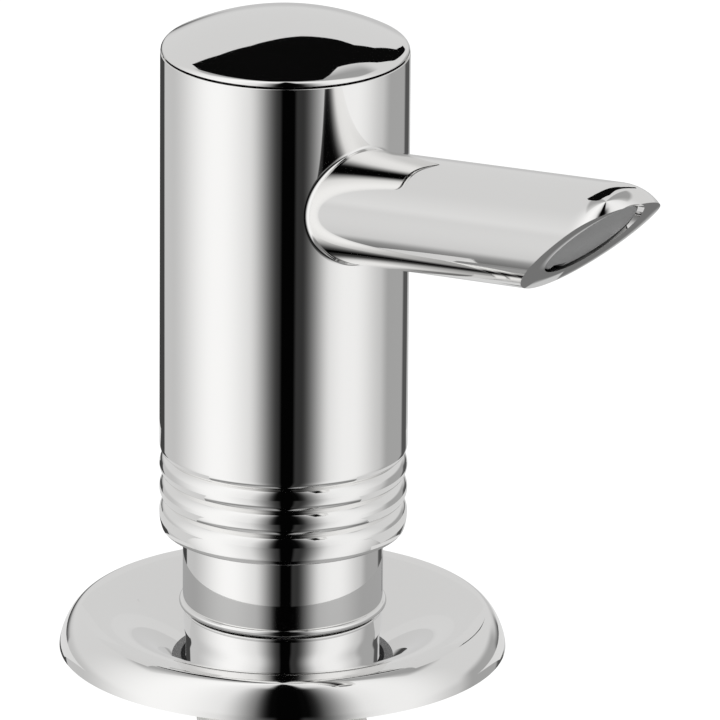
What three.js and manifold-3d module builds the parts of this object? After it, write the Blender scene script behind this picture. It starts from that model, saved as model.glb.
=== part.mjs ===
// Deck-mounted soap dispenser with a press head and a swivelling spout.
// Millimetres, +Z up. The origin is the centre of the base plate's underside, on the deck.
// The spout points along +X and rises a little.

import * as THREE from "three";
import { mergeVertices } from "three/addons/utils/BufferGeometryUtils.js";
import Module from "manifold-3d";

const wasm = await Module();
wasm.setup();

// Clearances
const seatGap = 0.3; // between pieces that rest on or in each other
const slideGap = 0.4; // between pieces that slide or turn on each other
const overrun = 2; // how far a cutting shape runs past what it cuts

// Facets round a full turn
const showSides = 40;
const innerSides = 20;
const ballSides = 12;
const ballRings = 8;

// Straight steps along each drawn arc
const rimSteps = 7;
const beadSteps = 4;
const edgeSteps = 3;
const bottleSteps = 5;

// Base plate
const plateRadius = 25;
const plateHeight = 4.1;
const plateRimWidth = 2.5;
const plateRimFullness = 1.6; // exponent of the rim's outer face, 2 for an ellipse
const plateFloorDrop = 1.4; // depth of the flat beside the hole, below the deck
const plateFloorRadius = 12.4; // where the dish meets that flat
const plateDishFullness = 2.5; // exponent of the dish's fall, 1 for a cone
const plateHubRadius = 16.6;
const plateHubDrop = 3.2; // how far the hub reaches into the deck's hole
const plateLedgeThickness = 1;
const gasketGrooveInner = 19;
const gasketGrooveOuter = 22.4;
const gasketGrooveDepth = 0.8;

// Shank ring, the low ring that stands in the plate's hole
const ringRadius = 11.15;
const ringFootRadius = 10.85;
const ringBandHeight = 1.6; // height of the full-width band at its top
const ringFootHeight = 2.4; // height over which the ring draws in to its foot
const ringTop = 4.65;
const ringHoleGap = 0.35; // round its foot

// Shank, the threaded tube through the deck
const shankRadius = 9.6;
const shankBore = 8.5;
const shankFlangeRadius = 10.3;
const shankFlangeThickness = 1.6;
const seatGasketThickness = 0.8;

// Clamp under the deck, drawn for the thickest deck
const deckThickest = 30;
const rubberThickness = 2.5;
const washerThickness = 1.5;
const washerRadius = 21;
const nutFlangeRadius = 19;
const nutFlangeThickness = 2;
const nutHubRadius = 13.2;
const nutHubHeight = 4;
const nutLugCount = 4;
const nutLugWidth = 5;

// Bottle
const bottleRadius = 28;
const bottleWall = 1.6;
const bottleNeckRadius = 12;
const bottleNeckLength = 16;
const bottleShoulderDrop = 12;
const bottleBodyLength = 92;
const bottleCorner = 4;
const bottleLipThickness = 1.2;
const bottleSealThickness = 0.9;

// Neck sleeve
const neckRadius = 11.2;
const neckWall = 0.8;
const neckTop = 34;
const neckTopChamfer = 0.4;
const beadRadius = 11.6;
const beadHeight = 0.85;

// Pump cylinder
const cylinderBore = 6.2;
const cylinderRadius = 7.6;
const cylinderFlangeThickness = 1.5;
const cylinderDepth = 44; // below the deck plane
const cylinderFloor = 3.5;
const valveThroat = 1.2;
const valveConeRadius = 3;
const spigotRadius = 2.1;
const spigotLength = 8;

// Inlet valve and spring
const ballRadius = 2.2;
const ballLift = 1.2;
const cageBore = 2.6;
const cageRoof = 0.9;
const cageThroat = 1.1;
const springCoilRadius = 4.4;
const springWireRadius = 0.45;
const springTurns = 6;
const springStepsPerTurn = 8;
const springWireSides = 5;

// Pump collar with its wiper
const collarWall = 2.1;
const collarRoof = 5;
const wiperPocketRadius = 5;
const wiperPocketDepth = 3;

// Plunger
const pumpStroke = 7.5;
const stemRadius = 2.6;
const stemBore = 1.3;
const stemFootRadius = 4.9;
const stemFootThickness = 1.2;
const stemFootHeight = -18; // underside of the foot at rest
const pistonHeight = 6;
const pistonSkirt = 1.6;
const pistonWaistRadius = 4.6;
const pistonRingWidth = 1.3;

// Dip tube
const dipRadius = 3.2;
const dipWall = 0.8;
const dipFloorGap = 4;

// Head shell
const headRadius = 13.85;
const headWall = 1.7;
const headBottom = 14.3;
const headSeam = 69.9;
const skirtLip = 12; // height of the narrower guide at the shell's mouth
const ribPitch = 2.8;
const ribCount = 3;
const ribDepth = 0.7;
const ribSteps = 6;
const lowRibHeight = 3.2;
const ribFootDepth = 0.3; // how far the lowest rib draws in at its foot
const shellEdgeHeight = 1.1; // of the round edge above the top groove

// Head cap
const seamGap = 0.25;
const capShoulder = 1; // radius of the round edge between the seam and the crown
const shoulderSink = 0.304; // of the round edge's middle, under the seam
const crownRadius = 28;
const capPlugDepth = 4.6;
const capPlugWall = 2.4;
const capGrooveDepth = 1.1;
const capGrooveHeight = 1.6;
const capGrooveDrop = 1.4; // from the cap's edge to the groove
const capSteps = 8;

// Spout
const spoutHeight = 53;
const spoutRise = 10.2 * (Math.PI / 180);
const spoutRadius = 6.4;
const spoutBore = 4.3;
const spoutRoot = 9.4; // from the head's axis to the tube's inner end
const spoutReach = 66.2; // to where the slanted cut would leave the tube's top
const spoutCutAngle = 30 * (Math.PI / 180);
const noseStart = 58.2;
const noseLength = 4.7;
const noseFullness = 2.8; // exponent of the rounded end, 2 for an ellipse
const noseSteps = 8;
const spoutSides = 32;

// Outlet insert and soap hose
const insertRecess = 0.6;
const insertLength = 9;
const insertSlotWidth = 2.4;
const insertSlotDepth = 1.3;
const hoseRadius = 2.4;
const hoseBore = 1.5;
const hoseRoot = 3.2;

// Head core
const coreHeight = 22.2;
const coreSocketDepth = 6;
const coreThroat = 1.6;
const valveChamberRadius = 2.5;
const valveChamberHeight = 3.4;
const outletValveHeight = 2.2;
const outletValveStem = 1;

// Materials
const chrome = new THREE.MeshStandardMaterial({ color: 0xdfe0e2, metalness: 1, roughness: 0.06 });
const steel = new THREE.MeshStandardMaterial({ color: 0xb8babd, metalness: 1, roughness: 0.3 });
const greyPlastic = new THREE.MeshStandardMaterial({ color: 0x6b6a69, roughness: 0.5 });
const whitePlastic = new THREE.MeshStandardMaterial({ color: 0xe8e8e4, roughness: 0.45 });
const clearPlastic = new THREE.MeshStandardMaterial({ color: 0xe6ebea, roughness: 0.3 });
const rubber = new THREE.MeshStandardMaterial({ color: 0x1c1c1c, roughness: 0.8 });

const group = new THREE.Group();

/** Adds a named piece to the object. */
function addPiece(name, geometry, material) {
  const mesh = new THREE.Mesh(geometry, material);
  mesh.name = name;
  group.add(mesh);
}

/** Twice the signed area of an outline; positive when it runs counter-clockwise. */
function signedArea(points) {
  return points.reduce((sum, [r, z], i) => {
    const [nextR, nextZ] = points[(i + 1) % points.length];
    return sum + r * nextZ - nextR * z;
  }, 0);
}

/** A solid turned about +Z from a closed outline of [radius, height] points. */
function turned(outline, sides = innerSides) {
  const points = signedArea(outline) < 0 ? [...outline].reverse() : outline;
  const onAxis = points.findIndex(([r], i) => r === 0 && points[(i + 1) % points.length][0] > 0);
  const start = Math.max(onAxis, 0);
  const ordered = [...points.slice(start), ...points.slice(0, start)];
  if (onAxis < 0) ordered.push(ordered[0]);
  const geometry = new THREE.LatheGeometry(
    ordered.map(([r, z]) => new THREE.Vector2(r, z)),
    sides,
  );
  return geometry.rotateX(Math.PI / 2);
}

/** A ring of rectangular section. */
function ring(inner, outer, bottom, top, sides = innerSides) {
  return turned(
    [
      [inner, bottom],
      [outer, bottom],
      [outer, top],
      [inner, top],
    ],
    sides,
  );
}

/** A closed solid, ready for joining and cutting. */
function toSolid(geometry) {
  const bare = geometry.clone();
  bare.deleteAttribute("normal");
  bare.deleteAttribute("uv");
  const welded = mergeVertices(bare);
  const corners = [];
  for (let i = 0; i < welded.index.count; i += 3) {
    const [a, b, c] = [0, 1, 2].map((k) => welded.index.getX(i + k));
    if (a !== b && b !== c && c !== a) corners.push(a, b, c);
  }
  return new wasm.Manifold(
    new wasm.Mesh({
      numProp: 3,
      vertProperties: new Float32Array(welded.attributes.position.array),
      triVerts: new Uint32Array(corners),
    }),
  );
}

/** The geometry of a solid after joining and cutting. */
function toGeometry(solid) {
  const mesh = solid.getMesh();
  const geometry = new THREE.BufferGeometry();
  geometry.setAttribute("position", new THREE.BufferAttribute(mesh.vertProperties, 3));
  geometry.setIndex(new THREE.BufferAttribute(mesh.triVerts, 1));
  return geometry;
}

/** One geometry cut by others. */
function cut(geometry, ...cutters) {
  return toGeometry(cutters.reduce((solid, cutter) => solid.subtract(toSolid(cutter)), toSolid(geometry)));
}

/** Points of an arc or elliptical quarter between two angles. */
function arc(centreR, centreZ, radiusR, radiusZ, from, to, steps) {
  return Array.from({ length: steps + 1 }, (_, i) => {
    const angle = from + ((to - from) * i) / steps;
    return [centreR + radiusR * Math.cos(angle), centreZ + radiusZ * Math.sin(angle)];
  });
}

/** Places a solid turned about +Z along the spout's rising axis, with its zero at the head's axis. */
function alongSpout(geometry) {
  geometry.rotateY(Math.PI / 2 - spoutRise);
  return geometry.translate(0, 0, spoutHeight);
}

// Base plate and its gasket

const quarter = Math.PI / 2;
const ringBottom = -plateHubDrop + plateLedgeThickness + seatGap;
const plateHole = ringFootRadius + ringHoleGap;
const ledgeHole = shankRadius + slideGap;
const crestRadius = plateRadius - plateRimWidth;
const dishDrop = plateHeight + plateFloorDrop;
const dishShares = [0, 0.2, 0.35, 0.5, 0.65, 0.8, 0.9, 1];

/** A point of the dish, which falls ever steeper from the rim's crest to the flat beside the hole. */
function dishPoint(share) {
  const radius = crestRadius + (plateFloorRadius - crestRadius) * share;
  return [radius, plateHeight - dishDrop * share ** plateDishFullness];
}

/** Points of the rim's outer face, from its foot up to just before the crest. */
const rimPoints = Array.from({ length: rimSteps }, (_, i) => {
  const angle = (quarter * i) / rimSteps;
  const out = Math.cos(angle) ** (2 / plateRimFullness);
  const up = Math.sin(angle) ** (2 / plateRimFullness);
  return [crestRadius + plateRimWidth * out, plateHeight * up];
});

const plateOutline = [
  [ledgeHole, -plateHubDrop],
  [plateHubRadius, -plateHubDrop],
  [plateHubRadius, 0],
  [gasketGrooveInner, 0],
  [gasketGrooveInner, gasketGrooveDepth],
  [gasketGrooveOuter, gasketGrooveDepth],
  [gasketGrooveOuter, 0],
  ...rimPoints,
  ...dishShares.map(dishPoint),
  [plateHole, -plateFloorDrop],
  [plateHole, -plateHubDrop + plateLedgeThickness],
  [ledgeHole, -plateHubDrop + plateLedgeThickness],
];
addPiece("base_plate", turned(plateOutline, showSides), chrome);
addPiece(
  "deck_gasket",
  ring(gasketGrooveInner + seatGap, gasketGrooveOuter - seatGap, 0, gasketGrooveDepth - seatGap, showSides),
  rubber,
);

// Shank ring, shank and its seat gasket

const shankTop = ringTop - seatGasketThickness - seatGap;
const shankFlangeBottom = shankTop - shankFlangeThickness;
const ringBore = shankRadius + slideGap;
const ringOutline = [
  [ringBore, ringBottom],
  [ringFootRadius, ringBottom],
  [ringFootRadius, ringTop - ringBandHeight - ringFootHeight],
  [ringRadius, ringTop - ringBandHeight],
  [ringRadius, ringTop],
  [shankFlangeRadius + seatGap, ringTop],
  [shankFlangeRadius + seatGap, shankFlangeBottom - seatGap],
  [ringBore, shankFlangeBottom - seatGap],
];
addPiece("shank_ring", turned(ringOutline, showSides), chrome);

const nutDepth = nutFlangeThickness + nutHubHeight;
const clampTop = -deckThickest;
const clampDepth = rubberThickness + washerThickness + nutDepth + 2 * seatGap;
const bottleTop = clampTop - clampDepth - seatGap;
const shankBottom = bottleTop - bottleNeckLength;
const shankOutline = [
  [shankBore, shankBottom],
  [shankRadius, shankBottom],
  [shankRadius, shankFlangeBottom],
  [shankFlangeRadius, shankFlangeBottom],
  [shankFlangeRadius, shankTop],
  [shankBore, shankTop],
];
addPiece("shank", turned(shankOutline, showSides), whitePlastic);
const seatGasketTop = shankTop + seatGap + seatGasketThickness;
addPiece("seat_gasket", ring(shankBore, shankFlangeRadius, shankTop + seatGap, seatGasketTop), rubber);

// Clamp: rubber washer, steel washer and lugged nut

const clampBore = shankRadius + slideGap;
const washerTop = clampTop - rubberThickness - seatGap;
const nutTop = washerTop - washerThickness - seatGap;
const rubberBottom = clampTop - rubberThickness;
const washerBottom = washerTop - washerThickness;
addPiece("rubber_washer", ring(clampBore, washerRadius, rubberBottom, clampTop), rubber);
addPiece("steel_washer", ring(clampBore, washerRadius, washerBottom, washerTop), steel);

const nutOutline = [
  [clampBore, nutTop - nutDepth],
  [nutHubRadius, nutTop - nutDepth],
  [nutHubRadius, nutTop - nutFlangeThickness],
  [nutFlangeRadius, nutTop - nutFlangeThickness],
  [nutFlangeRadius, nutTop],
  [clampBore, nutTop],
];
const lugLength = nutFlangeRadius - clampBore - slideGap;
const lugReach = clampBore + slideGap + lugLength / 2;
const lugs = Array.from({ length: nutLugCount }, (_, i) => {
  const lug = new THREE.BoxGeometry(lugLength, nutLugWidth, nutDepth - seatGap);
  lug.translate(lugReach, 0, nutTop - (nutDepth + seatGap) / 2);
  return lug.rotateZ((i * 2 * Math.PI) / nutLugCount);
});
const nutSolid = lugs.reduce((solid, lug) => solid.add(toSolid(lug)), toSolid(turned(nutOutline)));
addPiece("fixing_nut", toGeometry(nutSolid), whitePlastic);

// Bottle and its seal

const bottleBore = shankRadius + seatGap;
const lipTop = shankBottom - bottleSealThickness - 2 * seatGap;
const lipBottom = lipTop - bottleLipThickness;
const shoulderBottom = lipBottom - bottleShoulderDrop;
const bottleBottom = shoulderBottom - bottleBodyLength;
const cornerCentre = [bottleRadius - bottleCorner, bottleBottom + bottleCorner];
const cornerInside = bottleCorner - bottleWall;
const shoulderWidth = bottleRadius - bottleNeckRadius;
const shoulderCentre = bottleNeckRadius - bottleWall;
const shoulderInside = bottleRadius - bottleWall - shoulderCentre;
const shoulderRiseInside = bottleShoulderDrop - bottleWall;
const bottleOutline = [
  [0, bottleBottom],
  ...arc(...cornerCentre, bottleCorner, bottleCorner, -quarter, 0, edgeSteps),
  ...arc(bottleNeckRadius, shoulderBottom, shoulderWidth, bottleShoulderDrop, 0, quarter, bottleSteps),
  [bottleNeckRadius, bottleTop],
  [bottleBore, bottleTop],
  [bottleBore, lipTop],
  [shankBore, lipTop],
  [shankBore, lipBottom],
  ...arc(shoulderCentre, shoulderBottom, shoulderInside, shoulderRiseInside, quarter, 0, bottleSteps),
  ...arc(...cornerCentre, cornerInside, cornerInside, 0, -quarter, edgeSteps),
  [0, bottleBottom + bottleWall],
];
addPiece("bottle", turned(bottleOutline, showSides), clearPlastic);
const bottleSealTop = shankBottom - seatGap;
addPiece("bottle_seal", ring(shankBore, shankRadius, lipTop + seatGap, bottleSealTop), rubber);

// Neck sleeve with its bead

const neckBottom = ringTop + seatGap;
const neckBore = neckRadius - neckWall;
const beadDepth = beadRadius - neckRadius;
const halfBead = beadHeight / 2;
const bead = arc(neckRadius, neckBottom + halfBead, beadDepth, halfBead, -quarter, quarter, beadSteps);
const neckOutline = [
  [neckBore, neckBottom],
  [neckRadius, neckBottom],
  ...bead.slice(1),
  [neckRadius, neckTop - neckTopChamfer],
  [neckRadius - neckTopChamfer, neckTop],
  [neckBore, neckTop],
];
addPiece("neck_sleeve", turned(neckOutline, showSides), chrome);

// Pump cylinder, inlet valve and spring

const flangeBottom = seatGasketTop + seatGap;
const flangeTop = flangeBottom + cylinderFlangeThickness;
const flangeRadius = neckBore - seatGap;
const cylinderBottom = -cylinderDepth;
const floorTop = cylinderBottom + cylinderFloor;
const coneDepth = valveConeRadius - valveThroat;
const cylinderOutline = [
  [valveThroat, cylinderBottom - spigotLength],
  [spigotRadius, cylinderBottom - spigotLength],
  [spigotRadius, cylinderBottom],
  [cylinderRadius, cylinderBottom],
  [cylinderRadius, flangeBottom],
  [flangeRadius, flangeBottom],
  [flangeRadius, flangeTop],
  [cylinderBore, flangeTop],
  [cylinderBore, floorTop],
  [valveConeRadius, floorTop],
  [valveThroat, floorTop - coneDepth],
];
addPiece("pump_cylinder", turned(cylinderOutline), whitePlastic);

const cageBottom = floorTop + seatGap;
const ballSeatHeight = floorTop - valveConeRadius + Math.SQRT2 * (ballRadius + seatGap);
const cageTop = ballSeatHeight + ballRadius + ballLift + seatGap + cageRoof;
const cageRadius = cylinderBore - seatGap;
const cageOutline = [
  [valveConeRadius, cageBottom],
  [cageRadius, cageBottom],
  [cageRadius, cageTop],
  [cageThroat, cageTop],
  [cageThroat, cageTop - cageRoof],
  [cageBore, cageTop - cageRoof],
  [cageBore, cageBottom + cageRoof],
];
addPiece("ball_cage", turned(cageOutline), whitePlastic);

const ball = new THREE.SphereGeometry(ballRadius, ballSides, ballRings);
ball.rotateX(quarter).translate(0, 0, ballSeatHeight);
addPiece("inlet_ball", ball, steel);

/** A helical spring of round wire, standing on bottom and ending at top, with flat ends. */
function coilSpring(bottom, top) {
  const steps = springTurns * springStepsPerTurn;
  const rise = top - bottom - 2 * springWireRadius;
  const positions = [];
  for (let i = 0; i <= steps; i += 1) {
    const turn = (i / springStepsPerTurn) * 2 * Math.PI;
    const height = bottom + springWireRadius + (rise * i) / steps;
    for (let j = 0; j < springWireSides; j += 1) {
      const around = (j / springWireSides) * 2 * Math.PI;
      const radius = springCoilRadius + springWireRadius * Math.cos(around);
      positions.push(radius * Math.cos(turn), radius * Math.sin(turn));
      positions.push(height + springWireRadius * Math.sin(around));
    }
  }
  const faces = [];
  for (let i = 0; i < steps; i += 1) {
    for (let j = 0; j < springWireSides; j += 1) {
      const next = (j + 1) % springWireSides;
      const [a, b] = [i * springWireSides + j, i * springWireSides + next];
      const [c, d] = [a + springWireSides, b + springWireSides];
      faces.push(a, c, b, b, c, d);
    }
  }
  const last = steps * springWireSides;
  for (let j = 1; j < springWireSides - 1; j += 1) {
    faces.push(0, j, j + 1);
    faces.push(last, last + j + 1, last + j);
  }
  const geometry = new THREE.BufferGeometry();
  geometry.setAttribute("position", new THREE.Float32BufferAttribute(positions, 3));
  geometry.setIndex(faces);
  return geometry;
}

addPiece("return_spring", coilSpring(cageTop + seatGap, stemFootHeight - seatGap), steel);

// Pump collar, which guides the stem, and its wiper

const collarBottom = flangeTop + seatGap;
const collarTop = neckTop - seatGap;
const collarBore = flangeRadius - collarWall;
const guideBore = stemRadius + slideGap;
const collarOutline = [
  [collarBore, collarBottom],
  [flangeRadius, collarBottom],
  [flangeRadius, collarTop],
  [wiperPocketRadius, collarTop],
  [wiperPocketRadius, collarTop - wiperPocketDepth],
  [guideBore, collarTop - wiperPocketDepth],
  [guideBore, collarTop - collarRoof],
  [collarBore, collarTop - collarRoof],
];
addPiece("pump_collar", turned(collarOutline), whitePlastic);
addPiece(
  "stem_wiper",
  ring(guideBore, wiperPocketRadius - seatGap, collarTop - wiperPocketDepth + seatGap, collarTop - seatGap),
  rubber,
);

// Dip tube

const dipTop = cylinderBottom - seatGap;
const dipBottom = bottleBottom + bottleWall + dipFloorGap;
addPiece("dip_tube", ring(dipRadius - dipWall, dipRadius, dipBottom, dipTop), clearPlastic);

// Plunger: stem, piston and its seal ring

const coreBottom = neckTop + pumpStroke + 2 * slideGap;
const socketTop = coreBottom + coreSocketDepth;
const stemTop = socketTop - seatGap;
const stemFootTop = stemFootHeight + stemFootThickness;
const stemOutline = [
  [stemBore, stemFootHeight],
  [stemFootRadius, stemFootHeight],
  [stemFootRadius, stemFootTop],
  [stemRadius, stemFootTop],
  [stemRadius, stemTop],
  [stemBore, stemTop],
];
addPiece("plunger_stem", turned(stemOutline), whitePlastic);

const pistonBottom = stemFootTop + seatGap;
const pistonTop = pistonBottom + pistonHeight;
const pistonRadius = cylinderBore - slideGap;
const pistonOutline = [
  [stemRadius + seatGap, pistonBottom],
  [pistonRadius, pistonBottom],
  [pistonRadius, pistonBottom + pistonSkirt],
  [pistonWaistRadius, pistonBottom + pistonSkirt],
  [pistonWaistRadius, pistonTop - pistonSkirt],
  [pistonRadius, pistonTop - pistonSkirt],
  [pistonRadius, pistonTop],
  [stemRadius + seatGap, pistonTop],
];
addPiece("piston", turned(pistonOutline), whitePlastic);
addPiece(
  "piston_seal",
  ring(
    pistonWaistRadius + seatGap,
    pistonWaistRadius + pistonRingWidth,
    pistonBottom + pistonSkirt + seatGap,
    pistonTop - pistonSkirt - seatGap,
  ),
  rubber,
);

// Head shell with its ribs and the hole for the spout

const shellBore = headRadius - headWall;
const skirtBore = neckRadius + slideGap;
const grooveRadius = headRadius - ribDepth;
const lowRibTop = headBottom + lowRibHeight;

const ribRadius = ((ribPitch / 2) ** 2 + ribDepth ** 2) / (2 * ribDepth);
const ribTurn = Math.asin(ribPitch / 2 / ribRadius);

/** Points of a rib, a round bead between two grooves, from an angle up to its top edge. */
function ribPoints(top, from, steps) {
  return arc(headRadius - ribRadius, top - ribPitch / 2, ribRadius, ribRadius, from, ribTurn, steps);
}

const lowReach = lowRibHeight - ribPitch / 2;
const lowRadius = (lowReach ** 2 + ribFootDepth ** 2) / (2 * ribFootDepth);
const lowTurn = Math.asin(lowReach / lowRadius);
const lowMiddle = headBottom + lowReach;
const lowRib = arc(headRadius - lowRadius, lowMiddle, lowRadius, lowRadius, -lowTurn, 0, ribSteps / 2);
const lowRibUpper = ribPoints(lowRibTop, 0, ribSteps / 2);
const upperRibTops = Array.from({ length: ribCount - 1 }, (_, i) => lowRibTop + (i + 1) * ribPitch);
const upperRibs = upperRibTops.flatMap((top) => ribPoints(top, -ribTurn, ribSteps).slice(1));
const ribTop = lowRibTop + (ribCount - 1) * ribPitch;
const shellEdgeZ = ribTop + shellEdgeHeight;
const shellEdge = arc(grooveRadius, shellEdgeZ, ribDepth, shellEdgeHeight, -quarter, 0, edgeSteps);
const shellOutline = [
  [skirtBore, headBottom],
  ...lowRib,
  ...lowRibUpper.slice(1),
  ...upperRibs,
  ...shellEdge.slice(1),
  [headRadius, headSeam],
  [shellBore, headSeam],
  [shellBore, headBottom + skirtLip],
  [skirtBore, headBottom + skirtLip - (shellBore - skirtBore)],
];
const spoutClear = spoutRadius + seatGap;
const spoutHoleEnd = headRadius + spoutRadius + overrun;
const spoutHole = alongSpout(ring(0, spoutClear, spoutRoot - seatGap, spoutHoleEnd, spoutSides));
addPiece("head_shell", cut(turned(shellOutline, showSides), spoutHole), chrome);

// Head cap, hollow underneath, and its seal ring

const capBottom = headSeam + seamGap;
const shoulderR = headRadius - capShoulder;
const shoulderRise = Math.sqrt((crownRadius - capShoulder) ** 2 - shoulderR ** 2);
const shoulderZ = capBottom - shoulderSink;
const crownMiddle = shoulderZ - shoulderRise;
const shoulderStart = Math.asin(shoulderSink / capShoulder);
const crownStart = Math.atan2(shoulderRise, shoulderR);
const plugRadius = shellBore - seatGap;
const plugBottom = capBottom - capPlugDepth;
const grooveTop = capBottom - capGrooveDrop;
const grooveBottom = grooveTop - capGrooveHeight;
const grooveFloor = plugRadius - capGrooveDepth;
const shoulder = arc(shoulderR, shoulderZ, capShoulder, capShoulder, shoulderStart, crownStart, edgeSteps);
const crown = arc(0, crownMiddle, crownRadius, crownRadius, crownStart, quarter, capSteps);
const capOutline = [
  [0, capBottom],
  [plugRadius - capPlugWall, capBottom],
  [plugRadius - capPlugWall, plugBottom],
  [plugRadius, plugBottom],
  [plugRadius, grooveBottom],
  [grooveFloor, grooveBottom],
  [grooveFloor, grooveTop],
  [plugRadius, grooveTop],
  [plugRadius, capBottom],
  ...shoulder,
  ...crown.slice(1, -1),
  [0, crownMiddle + crownRadius],
];
addPiece("head_cap", turned(capOutline, showSides), chrome);
addPiece(
  "cap_ring",
  ring(grooveFloor + seatGap, plugRadius, grooveBottom + seatGap, grooveTop - seatGap),
  rubber,
);

// Spout tube: a bored tube with a rounded nose, cut on a slant

const nosePoints = Array.from({ length: noseSteps }, (_, i) => {
  const angle = (quarter * i) / noseSteps;
  const radius = spoutRadius * Math.cos(angle) ** (2 / noseFullness);
  return [radius, noseStart + noseLength * Math.sin(angle) ** (2 / noseFullness)];
});
const spoutOutline = [[0, spoutRoot], [spoutRadius, spoutRoot], ...nosePoints, [0, noseStart + noseLength]];
const boreEnd = noseStart + noseLength + overrun;
const spoutBlank = turned(spoutOutline, spoutSides);
const spoutBoreShape = ring(0, spoutBore, spoutRoot - overrun, boreEnd, spoutSides);

/** A block whose upper face is the slanted cut, moved towards the head by recess. */
function slantBlock(recess) {
  const size = spoutReach;
  const block = new THREE.BoxGeometry(size, size, size);
  block.translate(0, 0, size / 2 - recess);
  block.rotateY(quarter - spoutCutAngle);
  return block.translate(-spoutRadius, 0, spoutReach);
}

const spoutLocal = cut(spoutBlank, spoutBoreShape, slantBlock(0));
addPiece("spout_tube", alongSpout(spoutLocal), chrome);

// Outlet insert with the slot that lets the soap out below it, and the hose behind it

const insertRadius = spoutBore - seatGap;
const cutRun = (spoutRadius - insertRadius) / Math.tan(spoutCutAngle);
const insertTop = spoutReach - cutRun;
const insertBottom = insertTop - (2 * insertRadius) / Math.tan(spoutCutAngle) - insertLength;
const insertBlank = ring(0, insertRadius, insertBottom, insertTop, spoutSides);
const slotLength = insertTop - insertBottom + 2 * overrun;
const slot = new THREE.BoxGeometry(insertSlotDepth * 2, insertSlotWidth, slotLength);
slot.translate(insertRadius, 0, (insertTop + insertBottom) / 2);
const hoseSocket = ring(0, hoseRadius + seatGap, insertBottom - overrun, insertBottom + insertLength / 2);
const socketPort = new THREE.BoxGeometry(insertRadius, insertSlotWidth, insertSlotWidth);
socketPort.translate(insertRadius / 2, 0, insertBottom + insertLength / 2 - insertSlotWidth / 2);
addPiece(
  "outlet_insert",
  alongSpout(cut(insertBlank, slantBlock(insertRecess), slot, hoseSocket, socketPort)),
  greyPlastic,
);
const hoseEnd = insertBottom + insertLength / 2 - insertSlotWidth - seatGap;
addPiece("soap_hose", alongSpout(ring(hoseBore, hoseRadius, hoseRoot, hoseEnd)), clearPlastic);

// Head core, which joins the stem to the spout, and the outlet valve in it

const coreRadius = shellBore - seatGap;
const coreTop = coreBottom + coreHeight;
const chamberTop = socketTop + valveChamberHeight;
const socketBore = ring(0, stemRadius + seatGap, coreBottom - overrun, socketTop);
const chamber = ring(0, valveChamberRadius, socketTop - seatGap, chamberTop);
const throat = ring(0, coreThroat, chamberTop - seatGap, spoutHeight + seatGap);
const rootSocket = spoutHole.clone();
const hoseHole = alongSpout(ring(0, hoseRadius + seatGap, 0, spoutRoot, innerSides));
const coreBlank = ring(0, coreRadius, coreBottom, coreTop, showSides);
addPiece("head_core", cut(coreBlank, socketBore, chamber, throat, rootSocket, hoseHole), whitePlastic);

const valveBottom = socketTop + seatGap;
const valveOutline = [
  [0, valveBottom],
  [valveChamberRadius - seatGap, valveBottom],
  [outletValveStem, valveBottom + outletValveHeight],
  [0, valveBottom + outletValveHeight],
];
addPiece("outlet_valve", turned(valveOutline), rubber);

export default group;
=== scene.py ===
# %% [markdown]
# A soap dispenser for a sink's deck. A round plate stands on the deck, a neck rises from it, and a
# press head with a slanted spout slides and turns on the neck. Under the deck hang a threaded shank,
# a clamp nut and a bottle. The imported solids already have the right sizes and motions, so this
# lesson lays finer meshes over them, gives each piece its finish, and lights them like a catalogue
# picture on white.

import math

import bpy
from mathutils import Matrix, Vector


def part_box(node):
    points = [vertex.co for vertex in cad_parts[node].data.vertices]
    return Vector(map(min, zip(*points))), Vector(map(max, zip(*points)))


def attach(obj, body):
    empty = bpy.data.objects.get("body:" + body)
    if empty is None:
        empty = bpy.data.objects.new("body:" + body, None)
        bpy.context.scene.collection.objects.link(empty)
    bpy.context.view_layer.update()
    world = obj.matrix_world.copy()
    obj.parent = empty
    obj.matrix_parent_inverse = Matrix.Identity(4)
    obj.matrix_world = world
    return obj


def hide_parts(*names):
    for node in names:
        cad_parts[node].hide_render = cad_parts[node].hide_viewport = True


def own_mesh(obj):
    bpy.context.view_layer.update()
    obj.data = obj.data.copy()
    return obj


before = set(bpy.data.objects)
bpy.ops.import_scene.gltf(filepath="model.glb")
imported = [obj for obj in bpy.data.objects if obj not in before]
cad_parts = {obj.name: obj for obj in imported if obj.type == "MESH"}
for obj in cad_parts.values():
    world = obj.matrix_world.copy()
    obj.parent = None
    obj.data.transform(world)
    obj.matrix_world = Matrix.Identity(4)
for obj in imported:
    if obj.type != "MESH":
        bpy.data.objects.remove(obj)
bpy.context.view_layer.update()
MM = 0.001


def span(node):
    """Lowest and highest height of a CAD node, in millimetres."""
    low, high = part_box(node)
    return low[2] / MM, high[2] / MM


# %% [markdown]
# The camera comes first. A long lens far away keeps the body's sides upright, as a catalogue
# picture does. Its place is worked out from a few angles: how far it looks down, how far round the
# object it stands, and a slight roll.

# %% Camera
VIEW_AZIMUTH = math.radians(51.7)
VIEW_ELEVATION = math.radians(19.3)
VIEW_ROLL = math.radians(0.4)
VIEW_DISTANCE = 1522
LENS = 683.6
SENSOR = 36
TARGET_ASIDE = 8.47
TARGET_HEIGHT = 33.78

image_right = Vector((math.cos(VIEW_AZIMUTH), math.sin(VIEW_AZIMUTH), 0))
towards_camera = Vector((math.sin(VIEW_AZIMUTH), -math.cos(VIEW_AZIMUTH), 0))
upright = Vector((0, 0, 1))
back = towards_camera * math.cos(VIEW_ELEVATION) + upright * math.sin(VIEW_ELEVATION)
target = image_right * TARGET_ASIDE + upright * TARGET_HEIGHT

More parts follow.
